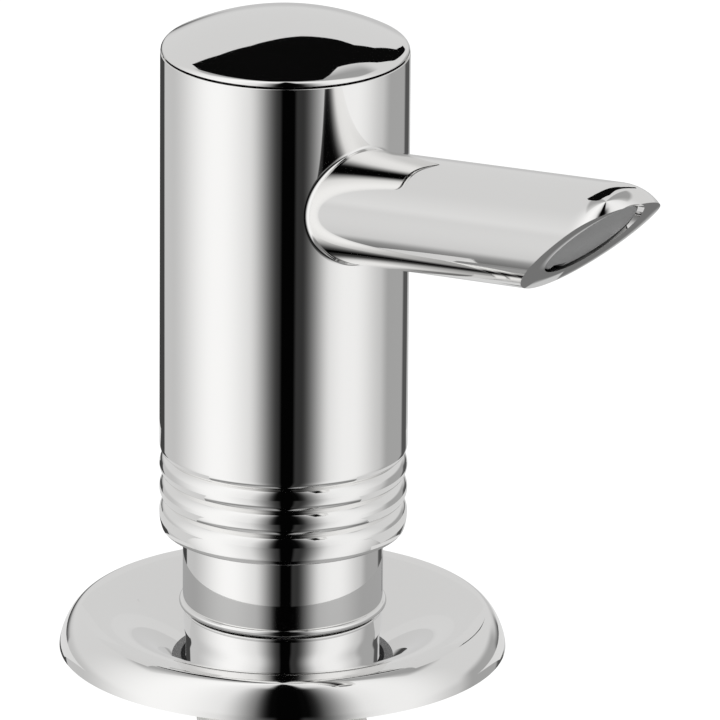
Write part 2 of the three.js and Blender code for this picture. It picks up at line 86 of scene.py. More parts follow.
camera_data = bpy.data.cameras.new("camera")
camera_data.lens = LENS
camera_data.sensor_width = SENSOR
camera = bpy.data.objects.new("camera", camera_data)
bpy.context.scene.collection.objects.link(camera)
image_up = back.cross(image_right)
rolled_right = image_right * math.cos(VIEW_ROLL) + image_up * math.sin(VIEW_ROLL)
rolled_up = image_up * math.cos(VIEW_ROLL) - image_right * math.sin(VIEW_ROLL)
turn = Matrix((rolled_right, rolled_up, back)).transposed().to_4x4()
camera.matrix_world = Matrix.Translation((target + back * VIEW_DISTANCE) * MM) @ turn
bpy.context.scene.camera = camera
print("camera at", [round(v, 3) for v in camera.location])

# %% [markdown]
# A finish, and the world round the object, is a tree of nodes. The trees could be wired by hand in
# Blender's editor, but then they couldn't be read here. So a few helpers keep them short to write:
# one adds a node and feeds its inputs, one does sums, and one fades softly from 0 to 1.

# %% Node helpers


def wire(tree, socket, value):
    """Feeds a socket from another node's socket, or sets it."""
    if isinstance(value, bpy.types.NodeSocket):
        tree.links.new(value, socket)
    else:
        socket.default_value = value


def add_node(tree, kind, inputs, output=0, **settings):
    """Adds a node, sets its options and inputs by name or number, and returns one output."""
    node = tree.nodes.new(kind)
    for key, value in settings.items():
        setattr(node, key, value)
    for key, value in inputs.items():
        wire(tree, node.inputs[key], value)
    return node.outputs[output]


def do_math(tree, operation, *values):
    """A Math node on up to three values."""
    return add_node(tree, "ShaderNodeMath", dict(enumerate(values)), operation=operation)


def fade(tree, value, start, end):
    """0 at start and 1 at end, with soft shoulders."""
    inputs = {0: value, 1: start, 2: end, 3: 0.0, 4: 1.0}
    return add_node(tree, "ShaderNodeMapRange", inputs, interpolation_type="SMOOTHSTEP")


# %% [markdown]
# Chrome shows nothing but the room, so the room is the real light here. Lamps with soft panels would
# do, but each would need its own place and size in the object's surroundings. It is simpler to write
# them into the World, as a handful of soft cards round the object. Each has a middle and a half
# width in degrees round the horizon, counted from the camera towards the picture's right, a lowest
# and a highest elevation, soft edges, and a brightness. Later cards lie over earlier ones. The
# camera itself sees plain white.

# %% The studio's light
CARDS = [
    # name, middle, half width, soft edge, lowest, highest, soft lip, brightness
    ("upper walls", 180, 150, 30, 6, 100, 10, 0.7),
    ("high wall, right", 118, 26, 8, 50, 100, 8, 0.36),
    ("high wall, left", -118, 20, 8, 50, 100, 8, 0.4),
    ("left softbox", -64, 2, 60, -40, 100, 10, 1.03),
    ("right softbox", 63, 3, 42, -40, 100, 10, 0.94),
    ("table", 180, 190, 1, -90, -52, 10, 0.25),
    ("right corner", 128, 14, 14, -50, 2, 8, 0.39),
    ("camera's gap", 6, 10, 29, -90, 60, 14, 0.033),
    ("board above the lens", 4, 9, 10, 4, 84, 10, 0.002),
    ("black card at the lens", 3.5, 4.8, 3.8, -90, 66, 6, 0.001),
    ("far corner, left", -160.5, 13.5, 3, -90, -8, 8, 0.055),
    ("far corner, right", 152, 6, 6, -90, -8, 8, 0.09),
    ("far table", 176, 60, 27, -90, -40, 7, 0.18),
]
TENT = 0.57  # brightness where there is no card
PICTURE_WHITE = 1.0

world = bpy.data.worlds.new("studio")
world.use_nodes = True
bpy.context.scene.world = world
sky = world.node_tree
sky.nodes.clear()
ray = add_node(sky, "ShaderNodeTexCoord", {})
height = add_node(sky, "ShaderNodeSeparateXYZ", {0: ray}, output="Z")
elevation = do_math(sky, "DEGREES", do_math(sky, "ARCSINE", height))

ahead, aside = [
    add_node(sky, "ShaderNodeVectorMath", {0: ray, 1: way}, "Value", operation="DOT_PRODUCT")
    for way in (towards_camera, image_right)
]
azimuth = do_math(sky, "DEGREES", do_math(sky, "ARCTAN2", aside, ahead))

light = TENT
for name, middle, half, edge, low, high, lip, brightness in CARDS:
    turned_by = do_math(sky, "SUBTRACT", azimuth, middle)
    away = do_math(sky, "ABSOLUTE", do_math(sky, "WRAP", turned_by, 180, -180))
    sideways = fade(sky, away, half + edge, half)
    above = fade(sky, elevation, low - lip, low)
    below = fade(sky, elevation, high + lip, high)
    cover = do_math(sky, "MULTIPLY", do_math(sky, "MULTIPLY", sideways, above), below)
    change = do_math(sky, "SUBTRACT", brightness, light)
    light = do_math(sky, "MULTIPLY_ADD", change, cover, light)

room = add_node(sky, "ShaderNodeBackground", {"Color": light, "Strength": 1.0})
white = add_node(sky, "ShaderNodeBackground", {"Strength": PICTURE_WHITE})
seen = add_node(sky, "ShaderNodeLightPath", {}, output="Is Camera Ray")
mixed = add_node(sky, "ShaderNodeMixShader", {0: seen, 1: room, 2: white})
world_out = sky.nodes.new("ShaderNodeOutputWorld")
sky.links.new(mixed, world_out.inputs["Surface"])
bpy.context.scene.view_settings.view_transform = "Standard"
print("cards round the object:", len(CARDS))

# %% [markdown]
# The floor is pale and plain. It lies under the bottle, so that views from the side show the whole
# object. The picture's own view ends at the plate's front edge, where a strip of the shank shows. The
# floor gives a little light of its own, as a light table does. It isn't seen in the chrome, where
# the cards do the work.

# %% Floor
FLOOR_SIZE = 6
bottle_bottom, bottle_top = span("bottle")
FLOOR_GAP = 0.05
FLOOR_TONE = 0.3
FLOOR_ROUGHNESS = 0.9
FLOOR_GLOW = 0.88

floor_mesh = bpy.data.meshes.new("floor")
half_floor = FLOOR_SIZE / 2
floor_height = (bottle_bottom - FLOOR_GAP) * MM
corners = [(-1, -1), (1, -1), (1, 1), (-1, 1)]
floor_points = [(x * half_floor, y * half_floor, floor_height) for x, y in corners]
floor_mesh.from_pydata(floor_points, [], [(0, 1, 2, 3)])
floor = bpy.data.objects.new("floor", floor_mesh)
bpy.context.scene.collection.objects.link(floor)
floor.visible_glossy = False
floor_paint = bpy.data.materials.new("floor_paint")
floor_paint.use_nodes = True
floor_shader = floor_paint.node_tree.nodes["Principled BSDF"]
floor_shader.inputs["Base Color"].default_value = (FLOOR_TONE, FLOOR_TONE, FLOOR_TONE, 1)
floor_shader.inputs["Roughness"].default_value = FLOOR_ROUGHNESS
floor_shader.inputs["Specular IOR Level"].default_value = 0.0
floor_shader.inputs["Emission Color"].default_value = (1, 1, 1, 1)
floor_shader.inputs["Emission Strength"].default_value = FLOOR_GLOW
floor_mesh.materials.append(floor_paint)
print("floor at", round(floor_height / MM, 2), "mm")

# %% [markdown]
# A few props stand close enough for distance to matter. A black board hangs over the far side: the
# cap shows it as a black lens. White paper keeps it off the plate: one strip lies behind the plate,
# for its outer edge, and two hang over its far half, just below the head. The strip under the far
# side of the dish is what the near side mirrors. Only mirror reflections see any of them.

# %% Board and paper
BOARD_HEIGHT = 190  # above the cap
CAP_CENTRE_HEIGHT = 73
BOARD_TONE = 0.003
BOARD_CORNERS = [
    # round from the camera, and how high up the cap sees the corner
    (146.5, 58),
    (146.5, 40),
    (148.5, 31),
    (151.5, 25),
    (156, 17.5),
    (162, 13),
    (157.8, 21),
    (156.5, 31),
    (159, 37),
    (164, 38),
    (175, 42),
    (185, 46),
    (195, 48),
    (208, 46),
    (216.5, 40.5),
    (223, 47),
    (232, 60),
    (246, 73),
    (265, 83),
    (120, 76),
]
PAPERS = [
    # name, inner radius and height, outer radius and height,
    # degrees to either side of straight back, brightness
    ("low_paper", 25.4, 0, 34, 0, 100, 0.75),
    ("high_paper", 14.6, 14.2, 26, 14.2, 122, 0.68),
    ("rear_paper", 26, 14.2, 39, 14.2, 40, 0.68),
    ("dish_paper", 14, -1.2, 22.4, 3.9, 84, 0.62),
]
PAPER_STEPS = 40


def way_round(angle_degrees):
    """A level direction this far round from the camera, towards the picture's right."""
    angle = math.radians(angle_degrees)
    return towards_camera * math.cos(angle) + image_right * math.sin(angle)


def add_prop(name, points, faces, brightness):
    """A flat prop that only mirror reflections see."""
    mesh = bpy.data.meshes.new(name)
    mesh.from_pydata([point * MM for point in points], [], faces)
    prop = bpy.data.objects.new(name, mesh)
    bpy.context.scene.collection.objects.link(prop)
    paint = bpy.data.materials.new(name + "_paint")
    paint.use_nodes = True
    shader = paint.node_tree.nodes["Principled BSDF"]
    shader.inputs["Base Color"].default_value = (0, 0, 0, 1)
    shader.inputs["Specular IOR Level"].default_value = 0.0
    shader.inputs["Emission Color"].default_value = (1, 1, 1, 1)
    shader.inputs["Emission Strength"].default_value = brightness
    mesh.materials.append(paint)
    prop.visible_camera = False
    prop.visible_diffuse = False
    prop.visible_transmission = False
    prop.visible_shadow = False
    print(name, "corners:", len(points))


board_points = []
for angle, seen_at in BOARD_CORNERS:
    reach = BOARD_HEIGHT / math.tan(math.radians(seen_at))
    board_points.append(way_round(angle) * reach + upright * (CAP_CENTRE_HEIGHT + BOARD_HEIGHT))
add_prop("board", board_points, [tuple(range(len(board_points)))], BOARD_TONE)
for name, inner, inner_height, outer, outer_height, spread, brightness in PAPERS:
    points = []
    for step in range(PAPER_STEPS + 1):
        way = way_round(180 + spread * (2 * step / PAPER_STEPS - 1))
        points += [way * inner + upright * inner_height, way * outer + upright * outer_height]
    faces = [(2 * i, 2 * i + 1, 2 * i + 3, 2 * i + 2) for i in range(PAPER_STEPS)]
    add_prop(name, points, faces, brightness)

# %% [markdown]
# Next the finishes. A finish starts from the Principled shader. What is the same all over is set on
# the shader itself, and only what varies over the surface comes from nodes: fine noise for the
# grain of a moulding, rings for a turned washer, a breath of unevenness in the polish of chrome.

# %% Finish helpers
NOISE_LOW, NOISE_HIGH = 0.3, 0.7  # nearly all noise lies between these


def new_finish(name, colour, roughness, **values):
    """A material whose Principled shader has these plain values."""
    finish = bpy.data.materials.new(name)
    finish.use_nodes = True
    shader = finish.node_tree.nodes["Principled BSDF"]
    shader.inputs["Base Color"].default_value = (*colour, 1)
    shader.inputs["Roughness"].default_value = roughness
    for key, value in values.items():
        shader.inputs[key.replace("_", " ")].default_value = value
    return finish, finish.node_tree, shader


def object_place(tree):
    """Coordinates that stay with the piece, in metres."""
    return add_node(tree, "ShaderNodeTexCoord", {}, output="Object")


def grain(tree, place, scale, detail):
    """Noise from 0 to 1 with this many grains to the metre."""
    return add_node(tree, "ShaderNodeTexNoise", {"Vector": place, "Scale": scale, "Detail": detail})


def between(tree, value, low, high):
    """Stretches a 0 to 1 value to a range."""
    inputs = {0: value, 1: NOISE_LOW, 2: NOISE_HIGH, 3: low, 4: high}
    return add_node(tree, "ShaderNodeMapRange", inputs)


def tint(tree, share, first, second):
    """A colour between two others."""
    node = tree.nodes.new("ShaderNodeMix")
    node.data_type = "RGBA"
    wire(tree, node.inputs["Factor"], share)
    ends = [socket for socket in node.inputs if socket.type == "RGBA"]
    for socket, colour in zip(ends, (first, second)):
        socket.default_value = (*colour, 1)
    return next(socket for socket in node.outputs if socket.type == "RGBA")


def roughen(tree, shader, height_value, depth):
    """Raises the surface by a 0 to 1 value times a depth in millimetres."""
    bump = tree.nodes.new("ShaderNodeBump")
    bump.inputs["Strength"].default_value = 1.0
    bump.inputs["Distance"].default_value = depth * MM
    tree.links.new(height_value, bump.inputs["Height"])
    tree.links.new(bump.outputs["Normal"], shader.inputs["Normal"])


# %% [markdown]
# Polished chrome is almost a mirror, a little darker than the light it shows, and very slightly
# warm. Under the plating the polish is never quite even, so the roughness drifts between two small
# values, once in wide patches and once in fine ones.

# %% Chrome
CHROME_TONE = (0.9, 0.895, 0.885)
CHROME_ROUGHNESS = 0.03
CHROME_POLISH = (0.02, 0.045)  # least and most roughness
PATCH_GRAINS = 60  # to the metre, as for every grain below
HAIR_GRAINS = 2500
PATCH_SHARE = 0.7

chrome, tree, shader = new_finish("chrome", CHROME_TONE, CHROME_ROUGHNESS, Metallic=1.0)
place = object_place(tree)
patches = grain(tree, place, PATCH_GRAINS, detail=2)
hairs = grain(tree, place, HAIR_GRAINS, detail=2)
hairs = do_math(tree, "MULTIPLY", hairs, 1 - PATCH_SHARE)
polish = do_math(tree, "MULTIPLY_ADD", patches, PATCH_SHARE, hairs)
tree.links.new(between(tree, polish, *CHROME_POLISH), shader.inputs["Roughness"])
print("finish:", chrome.name)

# %% [markdown]
# The steel of the washer is turned, so its fine lines run round the hole. Distance from the axis
# feeds a one-way noise, which gives rings of uneven width. The spring and the ball use it too.

# %% Steel
STEEL_TONE = (0.62, 0.63, 0.64)
STEEL_TONES = (0.5, 0.51, 0.52), (0.72, 0.73, 0.74)
STEEL_ROUGHNESS = 0.32
STEEL_POLISH = (0.22, 0.42)
TURNED_GRAINS = 9000.0
TURNED_DEPTH = 0.012

steel, tree, shader = new_finish("steel", STEEL_TONE, STEEL_ROUGHNESS, Metallic=1.0)
place = object_place(tree)
flat_place = add_node(tree, "ShaderNodeVectorMath", {0: place, 1: (1, 1, 0)}, operation="MULTIPLY")
reach = add_node(tree, "ShaderNodeVectorMath", {0: flat_place}, output="Value", operation="LENGTH")
rings = add_node(
    tree,
    "ShaderNodeTexNoise",
    {"W": reach, "Scale": TURNED_GRAINS, "Detail": 2.0},
    noise_dimensions="1D",
)
tree.links.new(between(tree, rings, *STEEL_POLISH), shader.inputs["Roughness"])
tree.links.new(tint(tree, rings, *STEEL_TONES), shader.inputs["Base Color"])
roughen(tree, shader, rings, TURNED_DEPTH)
print("finish:", steel.name)

# %% [markdown]
# The moulded pieces are white acetal and polypropylene. They are slightly translucent, with a fine
# moulded grain and faint clouds in the colour. The nut is a greyer, glass-filled nylon with specks.

# %% White and nut plastics
CLOUD_GRAINS = 120
GLOSS_DRIFT = 0.06  # how far the roughness strays from its middle
SKIN_DEPTH = (0.002, 0.002, 0.0018)  # metres that each colour of light goes in


def moulded(name, light_tone, dark_tone, roughness, grain_scale, grain_depth):
    """A moulded plastic with clouds in its colour and a fine grain."""
    finish, tree, shader = new_finish(name, light_tone, roughness, Subsurface_Weight=0.08)
    shader.inputs["Subsurface Radius"].default_value = SKIN_DEPTH
    place = object_place(tree)
    clouds = grain(tree, place, CLOUD_GRAINS, detail=4)
    tree.links.new(tint(tree, clouds, light_tone, dark_tone), shader.inputs["Base Color"])
    fine = grain(tree, place, grain_scale, detail=2)
    gloss = between(tree, fine, roughness - GLOSS_DRIFT, roughness + GLOSS_DRIFT)
    tree.links.new(gloss, shader.inputs["Roughness"])
    roughen(tree, shader, fine, grain_depth)
    print("finish:", name)
    return finish


white_plastic = moulded("white_plastic", (0.8, 0.8, 0.775), (0.74, 0.74, 0.72), 0.42, 3500, 0.01)
nut_plastic = moulded("nut_plastic", (0.72, 0.71, 0.68), (0.56, 0.555, 0.53), 0.5, 2600, 0.02)

# %% [markdown]
# The spout's insert is a flat dark grey plastic with a satin face. It catches no sharp light, so a
# fine even grain is enough.

# %% Insert plastic
insert_plastic = moulded(
    "insert_plastic", (0.24, 0.24, 0.24), (0.19, 0.19, 0.19), 0.5, 5000, 0.006
)

# %% [markdown]
# The bottle is blown polyethylene: milky, thin, and a little uneven. Light goes through it but
# shapes don't, so it mixes some transmission with roughness. The tubes are clearer.

# %% Bottle and tube plastics
WAVE_DRIFT = 0.05


def milky(name, colour, roughness, transmission, grain_scale, grain_depth):
    """A see-through moulding with an uneven surface."""
    finish, tree, shader = new_finish(name, colour, roughness, Transmission_Weight=transmission)
    shader.inputs["IOR"].default_value = 1.5
    place = object_place(tree)
    waves = grain(tree, place, grain_scale, detail=3)
    gloss = between(tree, waves, roughness - WAVE_DRIFT, roughness + WAVE_DRIFT)
    tree.links.new(gloss, shader.inputs["Roughness"])
    roughen(tree, shader, waves, grain_depth)
    print("finish:", name)
    return finish


bottle_plastic = milky("bottle_plastic", (0.86, 0.88, 0.88), 0.36, 0.45, 220, 0.08)
tube_plastic = milky("tube_plastic", (0.85, 0.88, 0.87), 0.18, 0.7, 300, 0.02)

# %% [markdown]
# Washers and seals are black rubber: dull, very dark, and dusted with a fine grain that a soft
# light picks out along their edges.

# %% Rubber
RUBBER_TONE = (0.024, 0.024, 0.025)
RUBBER_TONES = (0.018, 0.018, 0.019), (0.04, 0.04, 0.041)
RUBBER_ROUGHNESS = 0.7
RUBBER_POLISH = (0.6, 0.82)
DUST_GRAINS = 1800
DUST_DEPTH = 0.02

rubber, tree, shader = new_finish("rubber", RUBBER_TONE, RUBBER_ROUGHNESS)
place = object_place(tree)
dust = grain(tree, place, DUST_GRAINS, detail=4)
tree.links.new(tint(tree, dust, *RUBBER_TONES), shader.inputs["Base Color"])
tree.links.new(between(tree, dust, *RUBBER_POLISH), shader.inputs["Roughness"])
roughen(tree, shader, dust, DUST_DEPTH)

FINISHES = {
    "chrome": chrome,
    "steel": steel,
    "white_plastic": white_plastic,
    "nut_plastic": nut_plastic,
    "insert_plastic": insert_plastic,
    "bottle_plastic": bottle_plastic,
    "tube_plastic": tube_plastic,
    "rubber": rubber,
}
print("finishes:", len(FINISHES))

# %% [markdown]
# Nearly every piece is round about the same upright axis. So one function turns a closed outline of
# radius and height into a mesh, as a lathe would, and another rounds the outline's corners first:
# real edges are never sharp, and the small rounds are what catches the light. An outline's corner
# takes a third number, its radius, where it is rounded.

# %% Turning
SHOW_SIDES = 180
PLAIN_SIDES = 72
CORNER_STEPS = 4
EDGE = 0.15  # usual round on a small edge
PLAIN_EDGE = 0.3  # on a plainer one
SOFT_EDGE = 0.4  # on a thick or soft one
ROUND_SHARE = 0.48  # the most of a side that one corner's round may take
TINY = 1e-6


def rounded(outline, steps=CORNER_STEPS):
    """Replaces each corner that has a radius with a short arc."""
    points = []
    for i, corner in enumerate(outline):
        here = Vector(corner[:2])
        if len(corner) == 2:
            points.append(tuple(here))
            continue
        before = Vector(outline[i - 1][:2]) - here
        after = Vector(outline[(i + 1) % len(outline)][:2]) - here
        half = before.angle(after) / 2
        longest = ROUND_SHARE * min(before.length, after.length)
        reach = min(corner[2] / math.tan(half), longest)
        one_way, other_way = before.normalized(), after.normalized()
        middle = here + (one_way + other_way).normalized() * reach / math.cos(half)
        start = here + one_way * reach - middle
        end = here + other_way * reach - middle
        radius = start.length
        for step in range(steps + 1):
            spoke = start.lerp(end, step / steps).normalized()
            points.append(tuple(middle + spoke * radius))
    return points


def turned(outline, sides=SHOW_SIDES, shape=None):
    """Points and faces of a solid turned from a closed outline that runs anticlockwise."""
    points = []
    rows = []
    for radius, height in outline:
        if radius < TINY:
            rows.append([len(points)] * sides)
            points.append((0, 0, height))
            continue
        rows.append(list(range(len(points), len(points) + sides)))
        for k in range(sides):
            angle = 2 * math.pi * k / sides
            reach = shape(angle, radius, height) if shape else radius
            points.append((reach * math.cos(angle), reach * math.sin(angle), height))
    faces = []
    for row, after in zip(rows, rows[1:] + rows[:1]):
        for k in range(sides):
            n = (k + 1) % sides
            ring = [row[k], row[n], after[n], after[k]]
            face = [v for i, v in enumerate(ring) if v not in ring[:i]]
            if len(face) > 2:
                faces.append(face)
    return points, faces


def ring_outline(inner, outer, bottom, top, edge=EDGE):
    """The outline of a ring with rounded edges."""
    return [(inner, bottom, edge), (outer, bottom, edge), (outer, top, edge), (inner, top, edge)]


# %% [markdown]
# A piece is added once, with its finish, its body and the solids that it stands for. Smooth shading
# with sharp edges above an angle keeps rounds soft and flats flat.

# %% Adding pieces
SHARP_ANGLE = math.radians(38)


def add_mesh(name, shape):
    """A new mesh object from points in millimetres and faces."""
    points, faces = shape
    mesh = bpy.data.meshes.new(name)
    mesh.from_pydata([Vector(point) * MM for point in points], [], faces)
    thing = bpy.data.objects.new(name, mesh)
    bpy.context.scene.collection.objects.link(thing)
    return thing


def finish_piece(thing, body, slot, node=None):
    """Shades a piece, paints it, and puts it on its body in place of its solid."""
    thing.data.shade_smooth()
    thing.data.set_sharp_from_angle(angle=SHARP_ANGLE)
    thing.data.materials.clear()
    thing.data.materials.append(FINISHES[slot])
    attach(thing, body)
    if node:
        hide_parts(node)
    print(thing.name, "faces:", len(thing.data.polygons))
    return thing


def turn_piece(node, outline, body, slot, sides=SHOW_SIDES, shape=None):
    """A turned piece that stands for a solid of the same name."""
    thing = add_mesh(node + "_fine", turned(rounded(outline), sides, shape))
    return finish_piece(thing, body, slot, node)


def turn_ring(node, inner, outer, body, slot, edge=EDGE, sides=PLAIN_SIDES):
    """A plain ring that stands for a solid of the same name and has its height."""
    bottom, top = span(node)
    return turn_piece(node, ring_outline(inner, outer, bottom, top, edge), body, slot, sides)


def apply_modifiers(thing):
    """Gives a piece the mesh that its modifiers make of it."""
    bpy.context.view_layer.update()
    result = thing.evaluated_get(bpy.context.evaluated_depsgraph_get())
    made = bpy.data.meshes.new_from_object(result)
    thing.modifiers.clear()
    thing.data = made


def combine(thing, tool, operation):
    """Joins a tool to a piece or cuts it away, and deletes the tool."""
    change = thing.modifiers.new("combine", "BOOLEAN")
    change.operation = operation
    change.solver = "EXACT"
    change.object = tool
    apply_modifiers(thing)
    bpy.data.objects.remove(tool)


# %% [markdown]
# The base plate is spun from brass and plated. Its rim rolls over in a tight crest, and inside it a
# dish falls ever steeper towards the hole, where a narrow flat goes round the ring. Two formulas
# draw it: a full oval for the rim's outer face, and a power of the distance for the dish.

# %% Base plate
PLATE_RADIUS = 25
PLATE_RIM_WIDTH = 2.5
PLATE_RIM_FULLNESS = 1.6
PLATE_FLOOR = -1.4
PLATE_FLOOR_RADIUS = 12.4
PLATE_DISH_FULLNESS = 2.5
PLATE_HOLE = 11.2
PLATE_LEDGE_HOLE = 10
PLATE_LEDGE = 1
PLATE_HUB_RADIUS = 16.6
GASKET_GROOVE = (19, 22.4, 0.8)  # inner and outer radius, depth
RIM_STEPS = 28
DISH_STEPS = 30

plate_bottom, plate_top = span("base_plate")
crest_radius = PLATE_RADIUS - PLATE_RIM_WIDTH
groove_in, groove_out, groove_depth = GASKET_GROOVE

rim = []
for step in range(RIM_STEPS + 1):
    angle = math.pi / 2 * step / RIM_STEPS
    out = max(math.cos(angle), 0) ** (2 / PLATE_RIM_FULLNESS)
    up = math.sin(angle) ** (2 / PLATE_RIM_FULLNESS)
    rim.append((crest_radius + PLATE_RIM_WIDTH * out, plate_top * up))
dish = []
for step in range(1, DISH_STEPS + 1):
    share = step / DISH_STEPS
    radius = crest_radius + (PLATE_FLOOR_RADIUS - crest_radius) * share
    dish.append((radius, plate_top - (plate_top - PLATE_FLOOR) * share**PLATE_DISH_FULLNESS))

plate_outline = [
    (PLATE_LEDGE_HOLE, plate_bottom, EDGE),
    (PLATE_HUB_RADIUS, plate_bottom, SOFT_EDGE),
    (PLATE_HUB_RADIUS, 0),
    (groove_in, 0),
    (groove_in, groove_depth),
    (groove_out, groove_depth),
    (groove_out, 0),
    *rim,
    *dish,
    (PLATE_HOLE, PLATE_FLOOR, EDGE),
    (PLATE_HOLE, plate_bottom + PLATE_LEDGE),
    (PLATE_LEDGE_HOLE, plate_bottom + PLATE_LEDGE, EDGE),
]
plate = turn_piece("base_plate", plate_outline, "base", "chrome", sides=240)

GASKET_GAP = 0.3
gasket_in, gasket_out = groove_in + GASKET_GAP, groove_out - GASKET_GAP
gasket = turn_ring("deck_gasket", gasket_in, gasket_out, "base", "rubber", sides=SHOW_SIDES)

# %% [markdown]
# Two thin rings lie on the flat round the hole: a grey bush on the outside, and a black seal that
# fills the gap at the shank ring's foot. Both stand partly for light. The black seal is also painted
# shade deep in that gap, and the grey bush is a painted reflection of the ring's side in the flat.

# %% Rings round the hole
BUSH_OUTER = 12.4
BUSH_INNER = 11.4
BUSH_TOP = -1.2
SEAL_INNER = 10.87
SEAL_TOP = -1.12
SEAL_SHADE_GLOSS = 0.05  # painted shade: the seal loses nearly all its shine, so the gap reads dark
RING_SINK = 0.02  # how far they reach into the flat
RING_EDGE = 0.05



def flat_ring(name, inner, outer, top, slot):
    """A thin ring that lies on the plate's flat."""
    outline = ring_outline(inner, outer, PLATE_FLOOR - RING_SINK, top, RING_EDGE)
    return finish_piece(add_mesh(name, turned(rounded(outline))), "base", slot)


# The grey bush is partly a painted reflection: it lies where the flat would mirror the ring's side.
bush = flat_ring("plate_bush_and_reflection", BUSH_INNER, BUSH_OUTER, BUSH_TOP, "insert_plastic")
seal = flat_ring("plate_seal_and_shade", SEAL_INNER, BUSH_INNER, SEAL_TOP, "rubber")
# Painted shade: the seal's rubber gets almost no shine, so the gap at the ring's foot stays dark.
gap_shade_rubber = rubber.copy()
gap_shade_rubber.name = "gap_shade_rubber"
gap_shade_rubber.node_tree.nodes["Principled BSDF"].inputs["Specular IOR Level"].default_value = SEAL_SHADE_GLOSS
seal.data.materials[0] = gap_shade_rubber

# %% [markdown]
# The neck and the plate would mirror each other over and over, but the picture shows calm tones
# there. So a flat mirror stands in for the plate in the other pieces' reflections, which gives one
# simple mirror image. It works from above only, so the plate itself looks up through it.

# %% The plate's stand-in
MIRROR_INNER = 11.8
MIRROR_OUTER = 23.9
MIRROR_STEPS = 96
MIRROR_TONE = 0.48
MIRROR_ROUGHNESS = 0.03

for hidden in (plate, gasket, bush, seal):
    hidden.visible_glossy = False
mirror_points = []
for step in range(MIRROR_STEPS):
    way = way_round(360 * step / MIRROR_STEPS)
    mirror_points += [way * radius + upright * plate_top for radius in (MIRROR_INNER, MIRROR_OUTER)]
mirror_faces = []
for step in range(MIRROR_STEPS):
    here, after = 2 * step, 2 * ((step + 1) % MIRROR_STEPS)
    mirror_faces.append((here, here + 1, after + 1, after))
add_prop("mirror", mirror_points, mirror_faces, 0)
mirror_tree = bpy.data.materials["mirror_paint"].node_tree
metal = mirror_tree.nodes["Principled BSDF"]
metal.inputs["Base Color"].default_value = (MIRROR_TONE, MIRROR_TONE, MIRROR_TONE, 1)
metal.inputs["Metallic"].default_value = 1.0
metal.inputs["Roughness"].default_value = MIRROR_ROUGHNESS
below = add_node(mirror_tree, "ShaderNodeNewGeometry", {}, output="Backfacing")
clear = add_node(mirror_tree, "ShaderNodeBsdfTransparent", {})
one_way = add_node(mirror_tree, "ShaderNodeMixShader", {0: below, 1: metal.outputs[0], 2: clear})
mirror_tree.links.new(one_way, mirror_tree.nodes["Material Output"].inputs["Surface"])
up = bpy.data.objects["mirror"].data.polygons[0].normal.z
print("the stand-in faces up:", up > 0)

# %% [markdown]
# A low chromed ring stands in the plate's hole. Its top band is straight, and below it the ring
# draws in to a slightly narrower foot, so a soft curve joins the two. A cosine draws that curve: it
# leaves both ends without a kink, and chrome would show any kink as a line.

# %% Shank ring
RING_RADIUS = 11.15
RING_FOOT_RADIUS = 10.85
RING_BAND = 1.6
RING_DRAW_IN = 2.4
RING_BORE = 10
RING_SEAT_RADIUS = 10.6
RING_STEPS = 8

ring_bottom, ring_top = span("shank_ring")
shank_bottom, shank_top = span("shank")
FLANGE_THICKNESS = 1.6
SEAT_GAP = 0.3
seat_height = shank_top - FLANGE_THICKNESS - SEAT_GAP
foot_curve = []
for step in range(RING_STEPS + 1):
    share = step / RING_STEPS
    ease = (1 - math.cos(math.pi * share)) / 2
    radius = RING_FOOT_RADIUS + (RING_RADIUS - RING_FOOT_RADIUS) * ease
    foot_curve.append((radius, ring_top - RING_BAND - RING_DRAW_IN * (1 - share)))
ring_shape = [
    (RING_BORE, ring_bottom, EDGE),
    (RING_FOOT_RADIUS, ring_bottom, PLAIN_EDGE),
    *foot_curve,
    (RING_RADIUS, ring_top, EDGE),
    (RING_SEAT_RADIUS, ring_top, EDGE),
    (RING_SEAT_RADIUS, seat_height),
    (RING_BORE, seat_height, EDGE),
]
turn_piece("shank_ring", ring_shape, "base", "chrome")

# %% [markdown]
# The shank is a long threaded tube. The solid leaves its wall plain, and here the thread is cut: the
# outline has many rows along the wall, and a shape function pulls each point in by how far it is
# from the thread's crest, which climbs once for each turn. The thread fades out at both ends.

# %% Threaded shank
SHANK_RADIUS = 9.6
SHANK_BORE = 8.5
SHANK_FLANGE_RADIUS = 10.3
THREAD_PITCH = 2
THREAD_DEPTH = 0.5
THREAD_ROWS = 9  # rows of points to one turn
THREAD_SIDES = 96
THREAD_FADE = 3
THREAD_START = 0.6  # plain length at the lower end
THREAD_RELIEF = 4  # and under the flange
THREAD_ROOT = 0.07  # half the width of the thread's root, as a share of the pitch
THREAD_FLANK = 0.3  # width of a flank, likewise

flange_bottom = shank_top - FLANGE_THICKNESS
thread_low = shank_bottom + THREAD_START
thread_high = flange_bottom - THREAD_RELIEF
thread_length = thread_high - thread_low
row_count = round(thread_length / THREAD_PITCH * THREAD_ROWS)
thread_rows = [
    (SHANK_RADIUS, thread_low + thread_length * i / row_count) for i in range(row_count + 1)
]


def thread_shape(angle, radius, height):
    """Pulls the wall in between the thread's crests."""
    if abs(radius - SHANK_RADIUS) > TINY or not thread_low < height < thread_high:
        return radius
    phase = (height / THREAD_PITCH - angle / (2 * math.pi)) % 1
    crest = min(max((abs(phase - 0.5) - THREAD_ROOT) / THREAD_FLANK, 0), 1)
    ends = min((height - thread_low) / THREAD_FADE, (thread_high - height) / THREAD_FADE, 1)
    return radius - THREAD_DEPTH * (1 - crest) * ends


